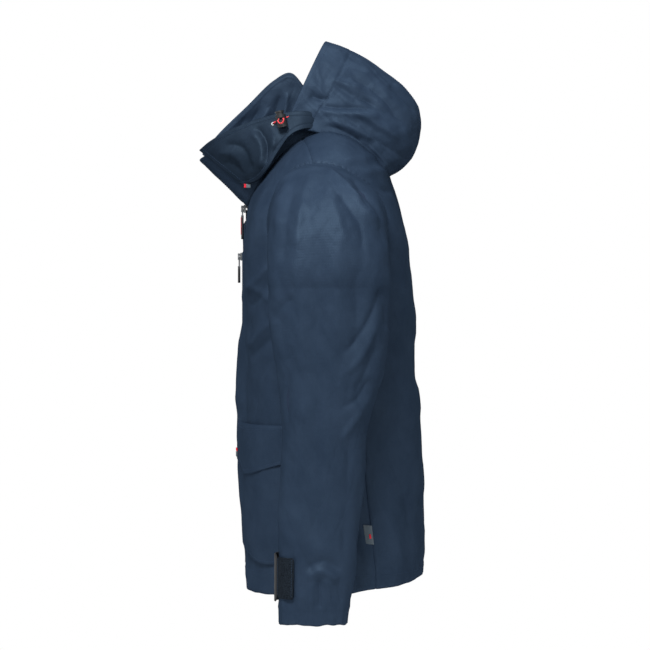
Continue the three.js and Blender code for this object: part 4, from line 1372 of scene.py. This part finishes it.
def bevelled(piece, width, segments=2):
    modifier = piece.modifiers.new("bevel", "BEVEL")
    modifier.width = width * MM
    modifier.segments = segments
    modifier.limit_method = "ANGLE"
    graph = bpy.context.evaluated_depsgraph_get()
    mesh = bpy.data.meshes.new_from_object(piece.evaluated_get(graph))
    piece.modifiers.clear()
    piece.data = mesh
    return piece


def boxes(name, list_of_corners, bevel=0.0):
    verts, faces = [], []
    for corners in list_of_corners:
        first = len(verts)
        verts += box_verts(*corners)
        faces += [[first + k for k in face] for face in BOX_FACES]
    piece = new_mesh(name, verts, faces, smooth=False)
    return bevelled(piece, bevel) if bevel else piece


def make_tape(name, x0, x1, plane_y, top, bottom, body, replaced):
    u, v = np.meshgrid(np.linspace(0, 1, 9), np.linspace(0, 1, 120))
    ribs = 0.12 * np.cos(u * 8 * math.pi)
    points = stack(lerp(x0, x1, u), plane_y - ribs, lerp(bottom, top, v))
    piece = cloth(name, points, 1.0)
    dress(piece, TAPE, body, "zip_tape", replaced)


def make_teeth(name, centre_x, plane_y, top, bottom, body):
    corners = []
    for k in range(int((top - bottom) / TOOTH_PITCH)):
        z = bottom + (k + 0.5) * TOOTH_PITCH
        sign = 1 if k % 2 else -1
        reach = sorted((sign * -0.5, sign * 3.0))
        corners.append((centre_x + reach[0], centre_x + reach[1],
                        plane_y - 1.3, plane_y + 1.3, z - 0.85, z + 0.85))
    piece = boxes(name, corners, bevel=0.25)
    dress(piece, PLASTIC, body, "zip_tape")


def make_zips():
    make_tape("left_tape", 0.9, 13.3, ZIP_PLANE_Y, ZIP_TOP_Z, ZIP_BOTTOM_Z, "jacket", "left_zip_tape")
    make_tape("right_tape", -13.3, -0.9, ZIP_PLANE_Y, ZIP_TOP_Z, ZIP_BOTTOM_Z, "jacket",
              "right_zip_tape")
    make_teeth("zip_teeth", 0, ZIP_PLANE_Y, ZIP_TOP_Z, ZIP_BOTTOM_Z, "jacket")
    make_tape("chest_tape", CHEST_ZIP_X - 7.5, CHEST_ZIP_X + 7.5, CHEST_PLANE_Y, CHEST_ZIP_TOP_Z,
              CHEST_ZIP_BOTTOM_Z, "jacket", "chest_zip_tape")
    make_teeth("chest_zip_teeth", CHEST_ZIP_X, CHEST_PLANE_Y, CHEST_ZIP_TOP_Z, CHEST_ZIP_BOTTOM_Z,
               "jacket")
    x = CHEST_ZIP_X
    back = ZIP_PLANE_Y - 2.2
    front = CHEST_PLANE_Y - 1.4
    low, high = CHEST_ZIP_BOTTOM_Z - 4, CHEST_ZIP_TOP_Z
    welts = boxes("chest_zip_welts", [
        (x - 10.5, x - 7.0, front, back, low, high), (x + 7.0, x + 10.5, front, back, low, high),
        (x - 10.5, x + 10.5, front, back, low - 4, low + 0.5),
    ], bevel=1.0)
    dress(welts, NAVY, "jacket", "shell_cloth")


def make_collar_tapes():
    first = math.radians(ZIP_EDGE_ANGLE)
    for side, sign in (("left", 1), ("right", -1)):
        angle, v = np.meshgrid(np.linspace(0.002, first - 0.003, 6), np.linspace(0.03, 0.98, 40))
        points = collar_point(angle, v) * [sign, 1, 1]
        piece = cloth(side + "_collar_tape", points[:, ::sign], 1.0)
        dress(piece, TAPE, "jacket", "zip_tape", side + "_collar_zip_tape")
        corners = []
        for share in np.linspace(0.05, 0.96, 28):
            x, y, z = collar_point(np.array(0.004), np.array(share))
            corners.append((sign * x - 1.3, sign * x + 1.3, y - 1.3, y + 1.3, z - 0.8, z + 0.8))
        teeth = boxes(side + "_collar_teeth", corners, bevel=0.25)
        dress(teeth, PLASTIC, "jacket", "zip_tape")


def make_puller(name, x, plane_y, z, grip_top, grip_bottom, grip_half, body, edge_material):
    """A moulded grip on two arms, with a raised edge in its own colour."""
    pin_y = plane_y - 6.2
    steps = 24
    verts, faces = [], []
    outline = []
    for k in range(steps):
        share = k / (steps - 1)
        height = lerp(grip_top, grip_bottom, share)
        half = grip_half * min(1.0, 0.62 + 0.6 * math.sqrt(max(share, 0)))
        half *= math.sqrt(max(1 - max(0, (share - 0.86) / 0.14) ** 2, 0.04))
        outline.append((height, half))
    sides = 16
    for height, half in outline:
        for k in range(sides):
            turn = 2 * math.pi * k / sides
            across, deep = superellipse(np.array(turn), 3.0)
            verts.append((x + half * float(across), pin_y - 0.2 + 2.0 * float(deep), height))
    for ring in range(steps - 1):
        for k in range(sides):
            a, b = ring * sides + k, ring * sides + (k + 1) % sides
            faces.append([a, a + sides, b + sides, b])
    faces.append(list(range(sides)))
    faces.append([(steps - 1) * sides + k for k in reversed(range(sides))])
    grip = new_mesh(name + "_grip", verts, faces)
    dress(grip, PLASTIC, body, "black_plastic", name)
    link = boxes(name + "_link", [
        (x - 3.3, x - 2.1, pin_y - 1, pin_y + 1, grip_top - 3, z + 1),
        (x + 2.1, x + 3.3, pin_y - 1, pin_y + 1, grip_top - 3, z + 1),
        (x - 2.5, x + 2.5, pin_y - 0.8, pin_y + 0.8, z - 0.8, z + 0.8),
        (x - 3.3, x + 3.3, pin_y - 1, pin_y + 1, grip_top - 4, grip_top - 1.5),
    ], bevel=0.3)
    dress(link, METAL, body, "grey_metal")
    if edge_material:
        inlay = boxes(name + "_inlay", [
            (x - 1.6, x + 1.6, pin_y - 2.75, pin_y - 1.6, grip_bottom + 7, grip_top - 3),
        ], bevel=0.5)
        dress(inlay, edge_material, body, "red_cord")


make_wing_mark()
make_zips()
make_collar_tapes()
make_puller("zip_puller", 0, ZIP_PLANE_Y, ZIP_TOP_Z + 2, -132, -169, 3.6, "zip_puller", RED_WOVEN)
make_puller("chest_zip_puller", CHEST_ZIP_X, CHEST_PLANE_Y, CHEST_ZIP_TOP_Z - 7, -210, -236, 3.0,
            "chest_zip_puller", None)


def make_garage():
    """The cloth housing that the chest zip's top end tucks into."""
    x = CHEST_ZIP_X
    u, v = np.meshgrid(np.linspace(0, 1, 40), np.linspace(0, 1, 60))
    lift = 3.6 * smoothstep(np.minimum(u, 1 - u) * 24, 0, 5) * smoothstep((1 - v) * 48, 0, 6)
    points = stack(lerp(x - 12, x + 12, u), ZIP_PLANE_Y - 2.4 - lift, lerp(-187.7, -140, v))
    points = lifted(points, 0.4 * waves(points, (12, 12, 16), 81))
    piece = cloth("chest_garage", points, 1.4)
    dress(piece, NAVY, "jacket", "shell_cloth", "chest_zip_garage")


make_garage()


# ---- storm flap, hanger loop and label ----
def make_storm_flap():
    (x0, y0, z0), (x1, y1, z1) = [np.array(corner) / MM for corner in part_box("inner_storm_flap")]
    u, v = np.meshgrid(np.linspace(0, 1, 20), np.linspace(0, 1, 140))
    points = stack(lerp(x0, x1, u), (y0 + y1) / 2, lerp(z0, z1, v))
    points = lifted(points, 0.5 * waves(points, (20, 20, 60), 85))
    piece = cloth("storm_flap", points, LINING)
    dress(piece, LINING_CLOTH, "jacket", "lining_cloth", "inner_storm_flap")


def make_hanger_loop():
    across = np.linspace(-1, 1, 60)
    v = np.linspace(14, 22, 8)
    x, z = np.meshgrid(across, v)
    bow = 45.0 - 8.0 * np.clip((1 - np.abs(x)) * 8, 0, 1) ** 0.5
    points = stack(31.5 * x, bow, z + 0.4 * np.cos(x * 3))
    piece = cloth("loop", points, 1.4)
    dress(piece, TAPE, "jacket", "zip_tape", "hanger_loop")


LABEL_FROM = -4.2  # degrees round the body from the side seam
LABEL_TO = 0.3


def make_label():
    low, high = [np.array(corner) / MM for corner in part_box("side_label")]
    u, v = np.meshgrid(np.linspace(0, 1, 16), np.linspace(0, 1, 24))
    height = height_at(lerp(low[2], high[2], v) - 1.5 * u)
    angle = seam_angle(height) + np.radians(lerp(LABEL_FROM, LABEL_TO, u))
    points = body_point(angle, height)
    points = lifted(points, 3.4 + 0.8 * np.sin(u * math.pi))
    piece = cloth("label", points, 1.0)
    dress(piece, LABEL, "jacket", "label_cloth", "side_label")
    square = lifted(points[7:13, 8:12], 0.7)
    patch = cloth("label_square", square, 0.5)
    dress(patch, RED_WOVEN, "jacket", "red_cord")


make_storm_flap()
make_hanger_loop()
make_label()

# ---- CAD pieces that stay, with their finish ----
KEPT = {"zip_slider": METAL, "chest_zip_slider": METAL, "zip_bottom_box": PLASTIC}
for side in ("left", "right"):
    for part, material in (
        ("cordlock_barrel", PLASTIC), ("cordlock_button", PLASTIC), ("cordlock_spring", METAL),
        ("front_eyelet", METAL), ("rear_eyelet", METAL),
    ):
        KEPT[f"{side}_{part}"] = material
for name, material in KEPT.items():
    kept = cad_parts[name]
    kept.data.materials.clear()
    kept.data.materials.append(material)

for body in list(stitch_runs):
    stitch_mesh(body, THREAD)


# ---- studio ----
FLOOR_Z = -0.97


def make_studio():
    paper, tree, shader = new_material("pale_floor")
    shader.inputs["Base Color"].default_value = (0.92, 0.92, 0.92, 1)
    shader.inputs["Roughness"].default_value = 0.9
    grain = node(tree, "ShaderNodeTexNoise", Scale=30.0, Detail=3.0)
    bump = add_bump(tree, grain.outputs["Fac"], 0.02, 0.001)
    tree.links.new(bump.outputs["Normal"], shader.inputs["Normal"])
    bpy.ops.mesh.primitive_circle_add(vertices=96, radius=1.0, fill_type="NGON", location=(0, 0, FLOOR_Z))
    floor = bpy.context.object
    floor.name = "floor"
    floor.data.materials.append(paper)

    world = bpy.data.worlds.new("studio")
    world.use_nodes = True
    tree = world.node_tree
    direction = tree.nodes.new("ShaderNodeTexCoord").outputs["Generated"]
    parts = tree.nodes.new("ShaderNodeSeparateXYZ")
    tree.links.new(direction, parts.inputs[0])
    ramp = tree.nodes.new("ShaderNodeValToRGB")
    levels = [(0.0, 0.2), (0.35, 0.35), (0.43, 1.0), (0.57, 1.0), (0.62, 0.2), (1.0, 0.25)]
    while len(ramp.color_ramp.elements) < len(levels):
        ramp.color_ramp.elements.new(0.5)
    for element, (place, level) in zip(ramp.color_ramp.elements, levels):
        element.position = place
        element.color = (level, level, level, 1)
    height = math_node(tree, "MULTIPLY_ADD", parts.outputs["Z"], 0.5)
    height.node.inputs[2].default_value = 0.5
    tree.links.new(height, ramp.inputs["Fac"])
    tree.links.new(ramp.outputs["Color"], tree.nodes["Background"].inputs["Color"])
    bpy.context.scene.world = world

    for name, place, size, power in (
        ("key", (1.75, -0.45, 1.35), 0.8, 66),
        ("front", (0.4, -2.6, 1.4), 1.2, 12),
        ("fill", (3.0, 1.4, 0.6), 1.4, 16),
        ("top", (-0.4, 0.6, 2.8), 1.2, 44),
    ):
        light = bpy.data.lights.new(name, "AREA")
        light.shape = "DISK"
        light.size = size
        light.energy = power
        lamp = bpy.data.objects.new(name, light)
        lamp.location = place
        direction = Vector((0, 0, -0.25)) - lamp.location
        lamp.rotation_euler = direction.to_track_quat("-Z", "Y").to_euler()
        bpy.context.collection.objects.link(lamp)
    bpy.context.scene.view_settings.view_transform = "Standard"


make_studio()
